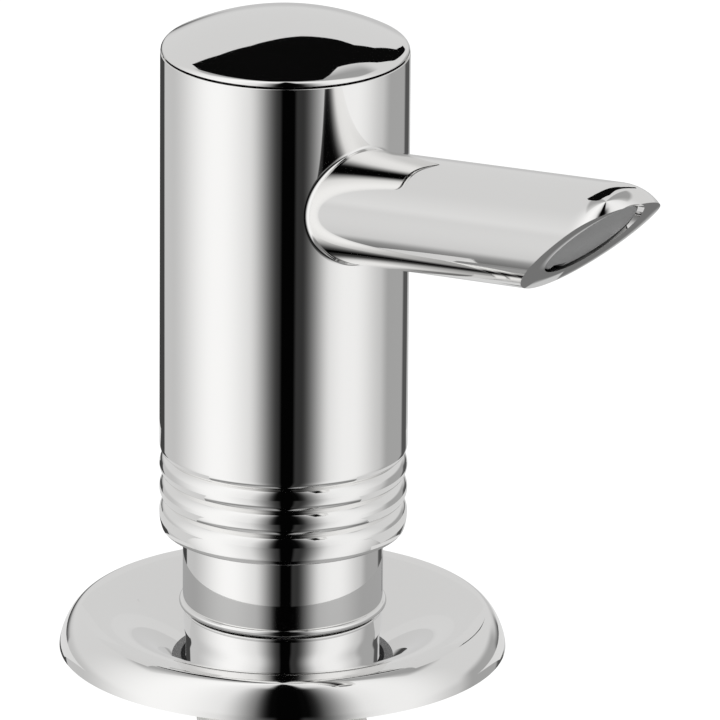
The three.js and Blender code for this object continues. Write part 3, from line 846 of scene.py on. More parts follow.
shank_outline = [
    (SHANK_BORE, shank_bottom, EDGE),
    (SHANK_RADIUS, shank_bottom, PLAIN_EDGE),
    *thread_rows,
    (SHANK_RADIUS, flange_bottom),
    (SHANK_FLANGE_RADIUS, flange_bottom, EDGE),
    (SHANK_FLANGE_RADIUS, shank_top, EDGE),
    (SHANK_BORE, shank_top, EDGE),
]
turn_piece("shank", shank_outline, "base", "white_plastic", THREAD_SIDES, thread_shape)
turn_ring("seat_gasket", SHANK_BORE, SHANK_FLANGE_RADIUS, "base", "rubber")

# %% [markdown]
# Under the deck a rubber washer and a steel washer spread the nut's pull. Both are plain rings, so a
# radius inside, one outside and the solid's own height say it all. Their edges tell rubber from
# steel: a cut sheet of rubber rounds over, and a stamped steel ring is only broken at its edge.

# %% Washers
CLAMP_BORE = 10
WASHER_RADIUS = 21
RUBBER_EDGE = 0.5
WASHER_EDGE = 0.2

turn_ring("rubber_washer", CLAMP_BORE, WASHER_RADIUS, "clamp", "rubber", RUBBER_EDGE, SHOW_SIDES)
turn_ring("steel_washer", CLAMP_BORE, WASHER_RADIUS, "clamp", "steel", WASHER_EDGE, SHOW_SIDES)

# %% [markdown]
# The nut is turned by hand from below, so it has a flange, a hub and four lugs for the fingers. A
# lug is drawn from above as a rounded bar, raised to a prism, and joined to the turned part, four
# times round. The lugs could just stand in the hub, but a boolean union leaves one clean skin.

# %% Fixing nut
NUT_FLANGE_RADIUS = 19
NUT_FLANGE_THICKNESS = 2
NUT_HUB_RADIUS = 13.2
NUT_LUGS = 4
NUT_LUG_WIDTH = 5
NUT_LUG_REACH = 18.6
LUG_ROUND = 0.9
LUG_LIFT = 0.3  # from the nut's lower face to the lugs
LUG_SINK = 1  # how far the lugs reach into the flange
LUG_OVERLAP = 1.2  # how far outside the bore they start
NUT_HUB_FILLET = 0.5
NUT_SIDES = 96

nut_low, nut_high = span("fixing_nut")
nut_flange = nut_high - NUT_FLANGE_THICKNESS
nut_outline = [
    (CLAMP_BORE, nut_low, PLAIN_EDGE),
    (NUT_HUB_RADIUS, nut_low, SOFT_EDGE),
    (NUT_HUB_RADIUS, nut_flange, NUT_HUB_FILLET),
    (NUT_FLANGE_RADIUS, nut_flange, SOFT_EDGE),
    (NUT_FLANGE_RADIUS, nut_high, SOFT_EDGE),
    (CLAMP_BORE, nut_high, PLAIN_EDGE),
]
nut = add_mesh("fixing_nut_fine", turned(rounded(nut_outline), NUT_SIDES))


def prism(outline, bottom, top):
    """Points and faces of a flat outline raised from bottom to top."""
    count = len(outline)
    points = [(x, y, bottom) for x, y in outline] + [(x, y, top) for x, y in outline]
    faces = [tuple(reversed(range(count))), tuple(range(count, 2 * count))]
    for i in range(count):
        n = (i + 1) % count
        faces.append((i, n, count + n, count + i))
    return points, faces


lug_inner = CLAMP_BORE + LUG_OVERLAP
half_lug = NUT_LUG_WIDTH / 2
lug_outline = rounded([
    (lug_inner, -half_lug),
    (NUT_LUG_REACH, -half_lug, LUG_ROUND),
    (NUT_LUG_REACH, half_lug, LUG_ROUND),
    (lug_inner, half_lug),
])
for i in range(NUT_LUGS):
    lug = add_mesh("lug", prism(lug_outline, nut_low + LUG_LIFT, nut_flange + LUG_SINK))
    lug.rotation_euler.z = 2 * math.pi * i / NUT_LUGS
    combine(nut, lug, "UNION")
finish_piece(nut, "nut", "nut_plastic", "fixing_nut")

# %% [markdown]
# The bottle is blown in a two-part mould. That leaves a fine parting line down both sides, and the
# neck has upright ribs, so wet fingers can turn it. Both come from one shape function on the turned
# wall. The base is hollow, as on such bottles.

# %% Bottle
BOTTLE_RADIUS = 28
BOTTLE_WALL = 1.6
BOTTLE_NECK_RADIUS = 12
BOTTLE_CORNER = 4
BOTTLE_SHOULDER = 12
BOTTLE_BORE = 9.9
LIP_THICKNESS = 1.2
SEAL_THICKNESS = 0.9
NECK_RIBS = 40
NECK_RIB_DEPTH = 0.45
PARTING = 0.08
BOTTLE_SIDES = 240
BASE_HOLLOW = 1
HOLLOW_INSET = 4  # of the hollow's edge, from where the corner starts
FOOT_INSET = 2  # of the foot's inner edge, likewise
HOLLOW_ROUND = 1
SHOULDER_END = 86  # degrees
SHOULDER_STEPS = 18
CORNER_ARC_STEPS = 8
NECK_FOOT = 0.6  # where the neck's ribs start, above the lip's lower face
NECK_TOP_BAND = 0.8
BOTTLE_LIP_EDGE = 0.5
ON_NECK = 1e-4  # how near the neck's radius a point of the neck lies

lip_top = shank_bottom - SEAL_THICKNESS - 2 * SEAT_GAP
lip_bottom = lip_top - LIP_THICKNESS
shoulder = lip_bottom - BOTTLE_SHOULDER


def arc(middle_r, middle_z, radius_r, radius_z, start, end, steps):
    """Points of part of an oval, from one angle in degrees to another."""
    points = []
    for step in range(steps + 1):
        angle = math.radians(start + (end - start) * step / steps)
        points.append((middle_r + radius_r * math.cos(angle), middle_z + radius_z * math.sin(angle)))
    return points


corner_r = BOTTLE_RADIUS - BOTTLE_CORNER
corner_z = bottle_bottom + BOTTLE_CORNER
inner_corner = BOTTLE_CORNER - BOTTLE_WALL
shoulder_in = BOTTLE_NECK_RADIUS - BOTTLE_WALL
bottle_outline = [
    (0, bottle_bottom + BASE_HOLLOW),
    (corner_r - HOLLOW_INSET, bottle_bottom + BASE_HOLLOW, HOLLOW_ROUND),
    (corner_r - FOOT_INSET, bottle_bottom, HOLLOW_ROUND),
    *arc(corner_r, corner_z, BOTTLE_CORNER, BOTTLE_CORNER, -90, 0, CORNER_ARC_STEPS),
    *arc(
        BOTTLE_NECK_RADIUS,
        shoulder,
        BOTTLE_RADIUS - BOTTLE_NECK_RADIUS,
        BOTTLE_SHOULDER,
        0,
        SHOULDER_END,
        SHOULDER_STEPS,
    ),
    (BOTTLE_NECK_RADIUS, lip_bottom + NECK_FOOT, SOFT_EDGE),
    (BOTTLE_NECK_RADIUS, bottle_top - NECK_TOP_BAND),
    (BOTTLE_NECK_RADIUS, bottle_top, BOTTLE_LIP_EDGE),
    (BOTTLE_BORE, bottle_top, EDGE),
    (BOTTLE_BORE, lip_top),
    (SHANK_BORE, lip_top, EDGE),
    (SHANK_BORE, lip_bottom, EDGE),
    *arc(
        shoulder_in,
        shoulder,
        BOTTLE_RADIUS - BOTTLE_WALL - shoulder_in,
        BOTTLE_SHOULDER - BOTTLE_WALL,
        90,
        0,
        SHOULDER_STEPS,
    ),
    *arc(corner_r, corner_z, inner_corner, inner_corner, 0, -90, CORNER_ARC_STEPS),
    (0, bottle_bottom + BOTTLE_WALL + BASE_HOLLOW / 2),
]


def bottle_shape(angle, radius, height):
    """Upright ribs on the neck and a parting line down both sides."""
    if abs(radius - BOTTLE_NECK_RADIUS) < ON_NECK and height > lip_bottom:
        return radius - NECK_RIB_DEPTH * (1 - math.cos(NECK_RIBS * angle)) / 2
    on_line = min(angle % math.pi, math.pi - angle % math.pi) < TINY
    outside = radius > BOTTLE_RADIUS - BOTTLE_WALL / 2 and height > bottle_bottom + BASE_HOLLOW
    return radius - PARTING if outside and on_line else radius


turn_piece("bottle", bottle_outline, "base", "bottle_plastic", BOTTLE_SIDES, bottle_shape)
turn_ring("bottle_seal", SHANK_BORE, SHANK_RADIUS, "base", "rubber")

# %% [markdown]
# The neck is a thin chromed sleeve with a fine bead round its foot. A bevel could round a small
# step, but half an oval in the outline gives the bead its exact height and depth, and it gathers the
# whole room into one bright line.

# %% Neck sleeve
NECK_RADIUS = 11.2
NECK_WALL = 0.8
BEAD_RADIUS = 11.6
BEAD_HEIGHT = 0.85
BEAD_STEPS = 14

neck_bottom, neck_top = span("neck_sleeve")
bead_middle = neck_bottom + BEAD_HEIGHT / 2
bead = arc(NECK_RADIUS, bead_middle, BEAD_RADIUS - NECK_RADIUS, BEAD_HEIGHT / 2, -90, 90, BEAD_STEPS)
neck_outline = [
    (NECK_RADIUS - NECK_WALL, neck_bottom),
    *bead,
    (NECK_RADIUS, neck_top, SOFT_EDGE),
    (NECK_RADIUS - NECK_WALL, neck_top, EDGE),
]
turn_piece("neck_sleeve", neck_outline, "pump_unit", "chrome")

# %% [markdown]
# Inside the neck sits the pump: a moulded cylinder with a valve seat, and a caged steel ball that
# lets soap in. The neck hides them until the pump unit is lifted out for filling, so they are turned
# as carefully as the rest. Each outline runs up the outside and back down through the bore.

# %% Pump cylinder, cage and ball
CYLINDER_BORE = 6.2
CYLINDER_RADIUS = 7.6
CYLINDER_FLANGE = 1.5
CYLINDER_FLOOR = 3.5
VALVE_THROAT = 1.2
VALVE_CONE = 3
SPIGOT_RADIUS = 2.1
SPIGOT_LENGTH = 8
CYLINDER_CORNER = 0.6
BALL_STEPS = 20
BALL_SIDES = 40
flange_radius = NECK_RADIUS - NECK_WALL - SEAT_GAP

spigot_bottom, cylinder_top = span("pump_cylinder")
cylinder_bottom = spigot_bottom + SPIGOT_LENGTH
floor_top = cylinder_bottom + CYLINDER_FLOOR
cylinder_outline = [
    (VALVE_THROAT, spigot_bottom, EDGE),
    (SPIGOT_RADIUS, spigot_bottom, EDGE),
    (SPIGOT_RADIUS, cylinder_bottom, PLAIN_EDGE),
    (CYLINDER_RADIUS, cylinder_bottom, CYLINDER_CORNER),
    (CYLINDER_RADIUS, cylinder_top - CYLINDER_FLANGE, PLAIN_EDGE),
    (flange_radius, cylinder_top - CYLINDER_FLANGE, EDGE),
    (flange_radius, cylinder_top, EDGE),
    (CYLINDER_BORE, cylinder_top, PLAIN_EDGE),
    (CYLINDER_BORE, floor_top, PLAIN_EDGE),
    (VALVE_CONE, floor_top),
    (VALVE_THROAT, floor_top - VALVE_CONE + VALVE_THROAT),
]
turn_piece("pump_cylinder", cylinder_outline, "pump_unit", "white_plastic", PLAIN_SIDES)

CAGE_BORE = 2.6
CAGE_THROAT = 1.1
CAGE_ROOF = 0.9
cage_bottom, cage_top = span("ball_cage")
cage_outline = [
    (VALVE_CONE, cage_bottom),
    (CYLINDER_BORE - SEAT_GAP, cage_bottom, EDGE),
    (CYLINDER_BORE - SEAT_GAP, cage_top, EDGE),
    (CAGE_THROAT, cage_top, EDGE),
    (CAGE_THROAT, cage_top - CAGE_ROOF),
    (CAGE_BORE, cage_top - CAGE_ROOF),
    (CAGE_BORE, cage_bottom + CAGE_ROOF),
]
turn_piece("ball_cage", cage_outline, "pump_unit", "white_plastic", PLAIN_SIDES)

ball_low, ball_high = span("inlet_ball")
ball_radius = (ball_high - ball_low) / 2
ball_arc = arc(0, (ball_low + ball_high) / 2, ball_radius, ball_radius, -90, 90, BALL_STEPS)
ball_outline = [(0, ball_low), *ball_arc[1:-1], (0, ball_high)]
turn_piece("inlet_ball", ball_outline, "ball", "steel", BALL_SIDES)

# %% [markdown]
# The collar closes the cylinder's top and guides the stem, and a rubber wiper in it keeps the stem
# clean. The dip tube reaches down almost to the bottle's floor. A tube is often drawn as a curve
# with a thickness, but this one is straight, so it is a tall plain ring with a fine edge.

# %% Collar, wiper and dip tube
COLLAR_WALL = 2.1
COLLAR_ROOF = 5
STEM_RADIUS = 2.6
GUIDE_BORE = 3
WIPER_RADIUS = 5
WIPER_DEPTH = 3
COLLAR_FILLET = 0.5

collar_bottom, collar_top = span("pump_collar")
collar_outline = [
    (flange_radius - COLLAR_WALL, collar_bottom, EDGE),
    (flange_radius, collar_bottom, EDGE),
    (flange_radius, collar_top, PLAIN_EDGE),
    (WIPER_RADIUS, collar_top, EDGE),
    (WIPER_RADIUS, collar_top - WIPER_DEPTH),
    (GUIDE_BORE, collar_top - WIPER_DEPTH, EDGE),
    (GUIDE_BORE, collar_top - COLLAR_ROOF, EDGE),
    (flange_radius - COLLAR_WALL, collar_top - COLLAR_ROOF, COLLAR_FILLET),
]
turn_piece("pump_collar", collar_outline, "pump_unit", "white_plastic", PLAIN_SIDES)
turn_ring("stem_wiper", GUIDE_BORE, WIPER_RADIUS - SEAT_GAP, "pump_unit", "rubber", SOFT_EDGE)
DIP_RADIUS = 3.2
DIP_WALL = 0.8
TUBE_EDGE = 0.12
turn_ring("dip_tube", DIP_RADIUS - DIP_WALL, DIP_RADIUS, "pump_unit", "tube_plastic", TUBE_EDGE)

# %% [markdown]
# The return spring pushes the head up again. It is a round wire wound on a helix.

# %% Return spring
SPRING_RADIUS = 4.4
SPRING_WIRE = 0.45
SPRING_TURNS = 6
SPRING_STEPS = 36
WIRE_SIDES = 12

spring_low, spring_high = span("return_spring")


def helix(low, high):
    """Points and faces of a round wire wound from low to high, with flat ends."""
    steps = SPRING_TURNS * SPRING_STEPS
    rise = high - low - 2 * SPRING_WIRE
    points = []
    for i in range(steps + 1):
        angle = 2 * math.pi * i / SPRING_STEPS
        middle = low + SPRING_WIRE + rise * i / steps
        for j in range(WIRE_SIDES):
            around = 2 * math.pi * j / WIRE_SIDES
            reach = SPRING_RADIUS + SPRING_WIRE * math.cos(around)
            rise_here = middle + SPRING_WIRE * math.sin(around)
            points.append((reach * math.cos(angle), reach * math.sin(angle), rise_here))
    faces = [tuple(range(WIRE_SIDES))]
    for i in range(steps):
        for j in range(WIRE_SIDES):
            n = (j + 1) % WIRE_SIDES
            a = i * WIRE_SIDES
            b = a + WIRE_SIDES
            faces.append((a + j, b + j, b + n, a + n))
    last = steps * WIRE_SIDES
    faces.append(tuple(reversed(range(last, last + WIRE_SIDES))))
    return points, faces


spring = add_mesh("return_spring_fine", helix(spring_low, spring_high))
finish_piece(spring, "pump_unit", "steel", "return_spring")
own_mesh(spring)

# %% [markdown]
# The plunger is a hollow stem with a foot on the spring and a piston that slides in the cylinder.
# The piston is drawn in at its waist, where a soft ring sits in the groove and seals against the
# bore. One outline with square steps draws it, and small rounds keep the steps from looking cut.

# %% Plunger
STEM_BORE = 1.3
STEM_FOOT_RADIUS = 4.9
STEM_FOOT = 1.2
PISTON_RADIUS = 5.8
PISTON_WAIST = 4.6
PISTON_SKIRT = 1.6
PISTON_RING_RADIUS = 5.9
PISTON_RING_EDGE = 0.45
PLUNGER_EDGE = 0.25

stem_low, stem_high = span("plunger_stem")
stem_outline = [
    (STEM_BORE, stem_low, EDGE),
    (STEM_FOOT_RADIUS, stem_low, EDGE),
    (STEM_FOOT_RADIUS, stem_low + STEM_FOOT, EDGE),
    (STEM_RADIUS, stem_low + STEM_FOOT, PLUNGER_EDGE),
    (STEM_RADIUS, stem_high, PLAIN_EDGE),
    (STEM_BORE, stem_high, EDGE),
]
turn_piece("plunger_stem", stem_outline, "plunger", "white_plastic", PLAIN_SIDES)
piston_low, piston_high = span("piston")
piston_bore = STEM_RADIUS + SEAT_GAP
piston_outline = [
    (piston_bore, piston_low, EDGE),
    (PISTON_RADIUS, piston_low, PLUNGER_EDGE),
    (PISTON_RADIUS, piston_low + PISTON_SKIRT, EDGE),
    (PISTON_WAIST, piston_low + PISTON_SKIRT, EDGE),
    (PISTON_WAIST, piston_high - PISTON_SKIRT, EDGE),
    (PISTON_RADIUS, piston_high - PISTON_SKIRT, EDGE),
    (PISTON_RADIUS, piston_high, PLUNGER_EDGE),
    (piston_bore, piston_high, EDGE),
]
turn_piece("piston", piston_outline, "plunger", "white_plastic", PLAIN_SIDES)
ring_inner = PISTON_WAIST + SEAT_GAP
turn_ring("piston_seal", ring_inner, PISTON_RING_RADIUS, "plunger", "rubber", PISTON_RING_EDGE)

# %% [markdown]
# Now the head. Its shell is a drawn tube with three rounded ribs near the mouth, each bulging out
# between two fine grooves. Arcs stacked on each other draw them. The lowest rib is taller, and draws
# in only a little at its foot, where the shell ends over the neck.

# %% Head shell's outline
HEAD_RADIUS = 13.85
HEAD_WALL = 1.7
SKIRT_LIP = 12
SKIRT_BORE = 11.6
RIB_PITCH = 2.8
RIB_COUNT = 3
RIB_DEPTH = 0.7
LOW_RIB = 3.2
RIB_FOOT = 0.3  # how far the lowest rib draws in at its foot
RIB_STEPS = 16
SHELL_EDGE = 1.1
SHELL_EDGE_STEPS = 10
SEAM_EDGE = 0.12

head_bottom, head_seam = span("head_shell")
groove_radius = HEAD_RADIUS - RIB_DEPTH
shell_bore = HEAD_RADIUS - HEAD_WALL
bead_radius = ((RIB_PITCH / 2) ** 2 + RIB_DEPTH**2) / (2 * RIB_DEPTH)
bead_turn = math.degrees(math.asin(RIB_PITCH / 2 / bead_radius))


def bead_points(top, start, end, steps):
    """Part of a round rib that ends at this height."""
    middle_r, middle_z = HEAD_RADIUS - bead_radius, top - RIB_PITCH / 2
    return arc(middle_r, middle_z, bead_radius, bead_radius, start, end, steps)


low_top = head_bottom + LOW_RIB
low_reach = LOW_RIB - RIB_PITCH / 2
low_radius = (low_reach**2 + RIB_FOOT**2) / (2 * RIB_FOOT)
low_turn = math.degrees(math.asin(low_reach / low_radius))
low_middle = head_bottom + low_reach
ribs = arc(HEAD_RADIUS - low_radius, low_middle, low_radius, low_radius, -low_turn, 0, RIB_STEPS // 2)
ribs[0] = (*ribs[0], EDGE)
ribs += bead_points(low_top, 0, bead_turn, RIB_STEPS // 2)[1:]
for i in range(1, RIB_COUNT):
    ribs += bead_points(low_top + i * RIB_PITCH, -bead_turn, bead_turn, RIB_STEPS)[1:]
rib_top = low_top + (RIB_COUNT - 1) * RIB_PITCH
shell_outline = [
    (SKIRT_BORE, head_bottom, EDGE),
    *ribs,
    *arc(groove_radius, rib_top + SHELL_EDGE, RIB_DEPTH, SHELL_EDGE, -90, 0, SHELL_EDGE_STEPS)[1:],
    (HEAD_RADIUS, head_seam, SEAM_EDGE),
    (shell_bore, head_seam, EDGE),
    (shell_bore, head_bottom + SKIRT_LIP),
    (SKIRT_BORE, head_bottom + SKIRT_LIP - (shell_bore - SKIRT_BORE)),
]

# %% [markdown]
# The spout goes through the shell's wall, so the shell has a hole there, cut with a plain rod. A cut
# mesh has long thin faces, which would bend reflections on chrome. The cure is to state each
# normal: on the outer wall it points straight away from the axis, whatever the faces do.

# %% Spout's axis and the shell's hole
SPOUT_HEIGHT = 53
SPOUT_RISE = math.radians(10.2)
SPOUT_RADIUS = 6.4
SPOUT_ROOT = 9.4
HOLE_GAP = 0.3
HOLE_TOOL_END = 24
ROD_SIDES = 96
WALL_MARGIN = 0.2  # left alone under the seam, where the edge's round begins
WALL_TOLERANCE = 0.02
FACES_OUT = 0.9  # cosine of the most that a wall face may lean

along = Vector((math.cos(SPOUT_RISE), 0, math.sin(SPOUT_RISE)))
spout_down = Vector((math.sin(SPOUT_RISE), 0, -math.cos(SPOUT_RISE)))
spout_side = along.cross(spout_down)


def on_spout(across, aside, reach):
    """A point given by its distances below, beside and along the spout's axis."""
    return upright * SPOUT_HEIGHT + spout_down * across + spout_side * aside + along * reach


def along_spout(shape):
    """Lays a shape that was turned about Z along the spout's axis."""
    points, faces = shape
    return [on_spout(*point) for point in points], faces


def rod(radius, low, high, sides=ROD_SIDES):
    """A plain round bar about Z."""
    return turned([(0, low), (radius, low), (radius, high), (0, high)], sides)


shell = add_mesh("head_shell_fine", turned(rounded(shell_outline), SHOW_SIDES))
hole = along_spout(rod(SPOUT_RADIUS + HOLE_GAP, SPOUT_ROOT - HOLE_GAP, HOLE_TOOL_END))
hole_tool = add_mesh("hole_tool", hole)
combine(shell, hole_tool, "DIFFERENCE")
finish_piece(shell, "head", "chrome", "head_shell")

wall_low = (rib_top + SHELL_EDGE) * MM
wall_high = (head_seam - WALL_MARGIN) * MM
normals = [corner.vector.copy() for corner in shell.data.corner_normals]
for polygon in shell.data.polygons:
    for index in polygon.loop_indices:
        point = shell.data.vertices[shell.data.loops[index].vertex_index].co
        out = Vector((point.x, point.y, 0))
        off_wall = abs(out.length - HEAD_RADIUS * MM)
        on_wall = off_wall < WALL_TOLERANCE * MM and wall_low <= point.z <= wall_high
        if on_wall and polygon.normal.dot(out.normalized()) > FACES_OUT:
            normals[index] = out.normalized()
shell.data.normals_split_custom_set(normals)
print("shell's corners:", len(normals))

# %% [markdown]
# The cap is a low dome whose edge turns down in a small round. A squashed sphere would bend its
# reflections more and more towards the edge, so the dome is an arc of one wide circle, and a small
# circle that touches it makes the shoulder. A fine seam parts the cap from the shell, and the small
# rounds on both sides of it draw the bright line that runs round the head.

# %% Head cap
CAP_HEIGHT = 3.95
CROWN_RADIUS = 28
CAP_SHOULDER = 1
CAP_PLUG_DEPTH = 4.6
CAP_PLUG_WALL = 2.4
CAP_GROOVE_DEPTH = 1.1
CAP_GROOVE_HEIGHT = 1.6
CAP_GROOVE_DROP = 1.4
SEAM_GAP = 0.25
CAP_LIP_EDGE = 0.1
CAP_RING_EDGE = 0.35
CROWN_STEPS = 24
SHOULDER_ARC_STEPS = 10

cap_bottom = head_seam + SEAM_GAP
crown_middle = cap_bottom + CAP_HEIGHT - CROWN_RADIUS
shoulder_r = HEAD_RADIUS - CAP_SHOULDER
shoulder_rise = math.sqrt((CROWN_RADIUS - CAP_SHOULDER) ** 2 - shoulder_r**2)
shoulder_z = crown_middle + shoulder_rise
crown_start = math.degrees(math.atan2(shoulder_rise, shoulder_r))
shoulder_start = math.degrees(math.asin((cap_bottom - shoulder_z) / CAP_SHOULDER))
shoulder_arc = arc(
    shoulder_r,
    shoulder_z,
    CAP_SHOULDER,
    CAP_SHOULDER,
    shoulder_start,
    crown_start,
    SHOULDER_ARC_STEPS,
)
crown = arc(0, crown_middle, CROWN_RADIUS, CROWN_RADIUS, crown_start, 90, CROWN_STEPS)
plug_radius = shell_bore - SEAT_GAP
plug_inner = plug_radius - CAP_PLUG_WALL
plug_bottom = cap_bottom - CAP_PLUG_DEPTH
groove_top = cap_bottom - CAP_GROOVE_DROP
groove_low = groove_top - CAP_GROOVE_HEIGHT
cap_outline = [
    (0, cap_bottom),
    (plug_inner, cap_bottom, PLAIN_EDGE),
    (plug_inner, plug_bottom, EDGE),
    (plug_radius, plug_bottom, EDGE),
    (plug_radius, groove_low, EDGE),
    (plug_radius - CAP_GROOVE_DEPTH, groove_low),
    (plug_radius - CAP_GROOVE_DEPTH, groove_top),
    (plug_radius, groove_top, EDGE),
    (plug_radius, cap_bottom),
    (shoulder_arc[0][0], cap_bottom, CAP_LIP_EDGE),
    *shoulder_arc[1:],
    *crown[1:-1],
    (0, crown_middle + CROWN_RADIUS),
]
turn_piece("head_cap", cap_outline, "head", "chrome")
cap_ring_inner = plug_radius - CAP_GROOVE_DEPTH + SEAT_GAP
turn_ring("cap_ring", cap_ring_inner, plug_radius, "head", "rubber", CAP_RING_EDGE)

# %% [markdown]
# The spout is a round tube that rises a little, with a rounded nose, cut on a slant underneath. It
# is drawn line by line: each line starts at the root and runs along the wall until it meets the
# slanted plane, then crosses the cut face to the bore. Halving steps find the meeting point. A
# narrow bevel then softens the edge of the cut.

# %% Spout tube
SPOUT_BORE = 4.3
SPOUT_REACH = 66.2
CUT_ANGLE = math.radians(30)
NOSE_START = 58.2
NOSE_LENGTH = 4.7
NOSE_FULLNESS = 2.8
SPOUT_SIDES = 144
WALL_STEPS = 40
BORE_ROW = 3  # from the cut back to an extra row of points in the bore
WALL_CROWDING = 2.2  # above 1, the steps lie closer towards the nose
HALVINGS = 40
CUT_BEVEL = 0.16
BEVEL_STEPS = 3
BEVEL_ANGLE = math.radians(35)


def wall_radius(reach):
    """The tube's radius this far along, with the nose drawn in."""
    share = min(max((reach - NOSE_START) / NOSE_LENGTH, 0), 1)
    return SPOUT_RADIUS * (1 - share**NOSE_FULLNESS) ** (1 / NOSE_FULLNESS)


def cut_plane(across):
    """How far along the spout the slanted plane lies, at a distance below the axis."""
    return SPOUT_REACH - (across + SPOUT_RADIUS) / math.tan(CUT_ANGLE)


def cut_reach(angle):
    """Where the wall's line at this angle meets the slanted plane."""
    low = SPOUT_ROOT
    high = NOSE_START + NOSE_LENGTH
    for _ in range(HALVINGS):
        middle = (low + high) / 2
        if middle < cut_plane(wall_radius(middle) * math.cos(angle)):
            low = middle
        else:
            high = middle
    return low


def spout_shape():
    """Points and faces of the tube, line by line round it."""
    points = []
    lines = []
    for k in range(SPOUT_SIDES):
        angle = 2 * math.pi * k / SPOUT_SIDES
        across, aside = math.cos(angle), math.sin(angle)
        end = cut_reach(angle)
        line = []
        for step in range(WALL_STEPS + 1):
            share = 1 - (1 - step / WALL_STEPS) ** WALL_CROWDING
            reach = SPOUT_ROOT + (end - SPOUT_ROOT) * share
            radius = wall_radius(reach)
            line.append((radius * across, radius * aside, reach))
        bore_end = cut_plane(SPOUT_BORE * across)
        for reach in (bore_end, bore_end - BORE_ROW, SPOUT_ROOT):
            line.append((SPOUT_BORE * across, SPOUT_BORE * aside, reach))
        lines.append(range(len(points), len(points) + len(line)))
        points += line
    faces = []
    for k in range(SPOUT_SIDES):
        here, beside = lines[k], lines[(k + 1) % SPOUT_SIDES]
        for i in range(len(here)):
            n = (i + 1) % len(here)
            faces.append((here[i], beside[i], beside[n], here[n]))
    return points, faces


spout = add_mesh("spout_tube_fine", along_spout(spout_shape()))
bevel = spout.modifiers.new("soft_edges", "BEVEL")
bevel.width = CUT_BEVEL * MM
bevel.segments = BEVEL_STEPS
bevel.limit_method = "ANGLE"
bevel.angle_limit = BEVEL_ANGLE
bevel.use_clamp_overlap = True
apply_modifiers(spout)
finish_piece(spout, "head", "chrome", "spout_tube")

# %% [markdown]
# Where the spout leaves the body, the two were brazed and polished, which leaves a fine hollow
# round. It follows the line where the two round walls meet. At each step round the spout the
# section is a small curved triangle that touches both walls.

# %% Round at the spout's root
FILLET = 0.45
FILLET_STEPS = 6
FILLET_TURNS = 144
FILLET_SINK = 0.12


def fillet_shape():
    """Points and faces of the hollow round between the spout and the body."""
    points = []
    size = FILLET_STEPS + 4
    for k in range(FILLET_TURNS):
        angle = 2 * math.pi * k / FILLET_TURNS
        spout_out = (spout_down * math.cos(angle) + spout_side * math.sin(angle)).normalized()
        base = upright * SPOUT_HEIGHT + spout_out * SPOUT_RADIUS
        reach = 0
        for _ in range(HALVINGS):
            trial = base + along * reach
            reach += (HEAD_RADIUS - math.hypot(trial.x, trial.y)) / along.x
        root = base + along * reach
        body_out = Vector((root.x, root.y, 0)).normalized()
        up_spout = (body_out - spout_out * body_out.dot(spout_out)).normalized()
        up_body = (spout_out - body_out * spout_out.dot(body_out)).normalized()
        start = root + up_spout * FILLET
        end = root + up_body * FILLET
        for step in range(FILLET_STEPS + 1):
            share = step / FILLET_STEPS
            points.append(start.lerp(root, share).lerp(root.lerp(end, share), share))
        points.append(end - body_out * FILLET_SINK)
        points.append(root - (body_out + spout_out) * FILLET_SINK)
        points.append(start - spout_out * FILLET_SINK)
    faces = []
    for k in range(FILLET_TURNS):
        here = k * size
        beside = ((k + 1) % FILLET_TURNS) * size
        for i in range(size):
            n = (i + 1) % size
            faces.append((here + i, beside + i, beside + n, here + n))
    return points, faces


fillet = add_mesh("spout_root_round", fillet_shape())
finish_piece(fillet, "head", "chrome")

# %% [markdown]
# The insert fills the tube's end. Its face lies on the same slant, a little below the rim, with a
# small notch at its lower end for the soap. The face has to be truly flat, so the plug is drawn as
# rings of points that end on the slanted plane, and only the notch is cut out of it.

# %% Outlet insert
INSERT_RECESS = 0.6
INSERT_GAP = 0.3
INSERT_LENGTH = 9
NOTCH_WIDTH = 1.8
NOTCH_DEPTH = 0.6
NOTCH_OVERLAP = 1
NOTCH_START = 20
INSERT_EDGE = 0.12

insert_radius = SPOUT_BORE - INSERT_GAP


def insert_shape():
    """Points and faces of a plug with a slanted face and a rounded edge."""
    bottom = cut_plane(insert_radius) - INSERT_LENGTH
    points = [(0, 0, bottom)]
    rows = []
    rims = [(insert_radius, None), (insert_radius, INSERT_EDGE), (insert_radius - INSERT_EDGE, 0)]
    for radius, drop in rims:
        row = []
        for k in range(SPOUT_SIDES):
            angle = 2 * math.pi * k / SPOUT_SIDES
            across = radius * math.cos(angle)
            reach = bottom if drop is None else cut_plane(across) - INSERT_RECESS - drop
            row.append(len(points))
            points.append((across, radius * math.sin(angle), reach))
        rows.append(row)
    points.append((0, 0, cut_plane(0) - INSERT_RECESS))
    faces = []
    for k in range(SPOUT_SIDES):
        n = (k + 1) % SPOUT_SIDES
        faces.append((0, rows[0][n], rows[0][k]))
        faces.append((len(points) - 1, rows[-1][k], rows[-1][n]))
        for row, after in zip(rows, rows[1:]):
            faces.append((row[k], row[n], after[n], after[k]))
    return points, faces


insert = add_mesh("outlet_insert_fine", along_spout(insert_shape()))
notch_outline = [
    (insert_radius - NOTCH_DEPTH, -NOTCH_WIDTH / 2),
    (insert_radius + NOTCH_OVERLAP, -NOTCH_WIDTH / 2),
    (insert_radius + NOTCH_OVERLAP, NOTCH_WIDTH / 2),
    (insert_radius - NOTCH_DEPTH, NOTCH_WIDTH / 2),
]
notch = add_mesh("notch_tool", along_spout(prism(notch_outline, NOTCH_START, SPOUT_REACH)))
combine(insert, notch, "DIFFERENCE")
finish_piece(insert, "head", "insert_plastic", "outlet_insert")

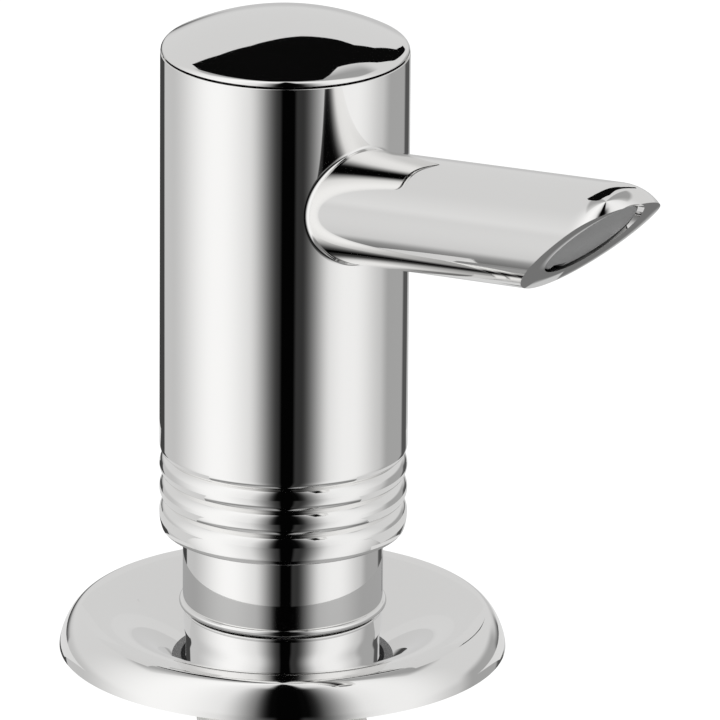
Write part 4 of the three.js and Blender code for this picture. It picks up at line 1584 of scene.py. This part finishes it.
# %% [markdown]
# A soft tube carries the soap from the core to the insert, and the core joins it to the stem. The
# outlet valve, a small rubber cone, closes the core's chamber so the spout doesn't drip. The core's
# hollows are all round and meet at odd angles, so plain rods cut them one by one, as drills do.

# %% Hose, core and valve
HOSE_RADIUS = 2.4
HOSE_BORE = 1.5
HOSE_ROOT = 3.2
HOSE_END = 41
CORE_SOCKET = 6
CORE_THROAT = 1.6
CHAMBER_RADIUS = 2.5
CHAMBER_HEIGHT = 3.4
VALVE_STEM = 1
VALVE_EDGE = 0.2
HOSE_EDGE = 0.1
TOOL_OVERLAP = 0.3
SOCKET_OVERLAP = 2
CORE_SIDES = 96

hose_line = rounded(ring_outline(HOSE_BORE, HOSE_RADIUS, HOSE_ROOT, HOSE_END, HOSE_EDGE))
hose = add_mesh("soap_hose_fine", along_spout(turned(hose_line, PLAIN_SIDES)))
finish_piece(hose, "head", "tube_plastic", "soap_hose")

core_low, core_high = span("head_core")
socket_top = core_low + CORE_SOCKET
chamber_top = socket_top + CHAMBER_HEIGHT
core_line = rounded([
    (0, core_low),
    (plug_radius, core_low, SOFT_EDGE),
    (plug_radius, core_high, SOFT_EDGE),
    (0, core_high),
])
core = add_mesh("head_core_fine", turned(core_line, CORE_SIDES))
core_tools = [
    rod(STEM_RADIUS + SEAT_GAP, core_low - SOCKET_OVERLAP, socket_top, PLAIN_SIDES),
    rod(CHAMBER_RADIUS, socket_top - TOOL_OVERLAP, chamber_top, PLAIN_SIDES),
    rod(CORE_THROAT, chamber_top - TOOL_OVERLAP, SPOUT_HEIGHT + TOOL_OVERLAP, PLAIN_SIDES),
    along_spout(rod(HOSE_RADIUS + SEAT_GAP, 0, SPOUT_ROOT, PLAIN_SIDES)),
    hole,
]
for tool_shape in core_tools:
    combine(core, add_mesh("core_tool", tool_shape), "DIFFERENCE")
finish_piece(core, "head", "white_plastic", "head_core")

valve_low, valve_high = span("outlet_valve")
valve_outline = [
    (0, valve_low),
    (CHAMBER_RADIUS - SEAT_GAP, valve_low, VALVE_EDGE),
    (VALVE_STEM, valve_high, VALVE_EDGE),
    (0, valve_high),
]
turn_piece("outlet_valve", valve_outline, "head", "rubber", PLAIN_SIDES)
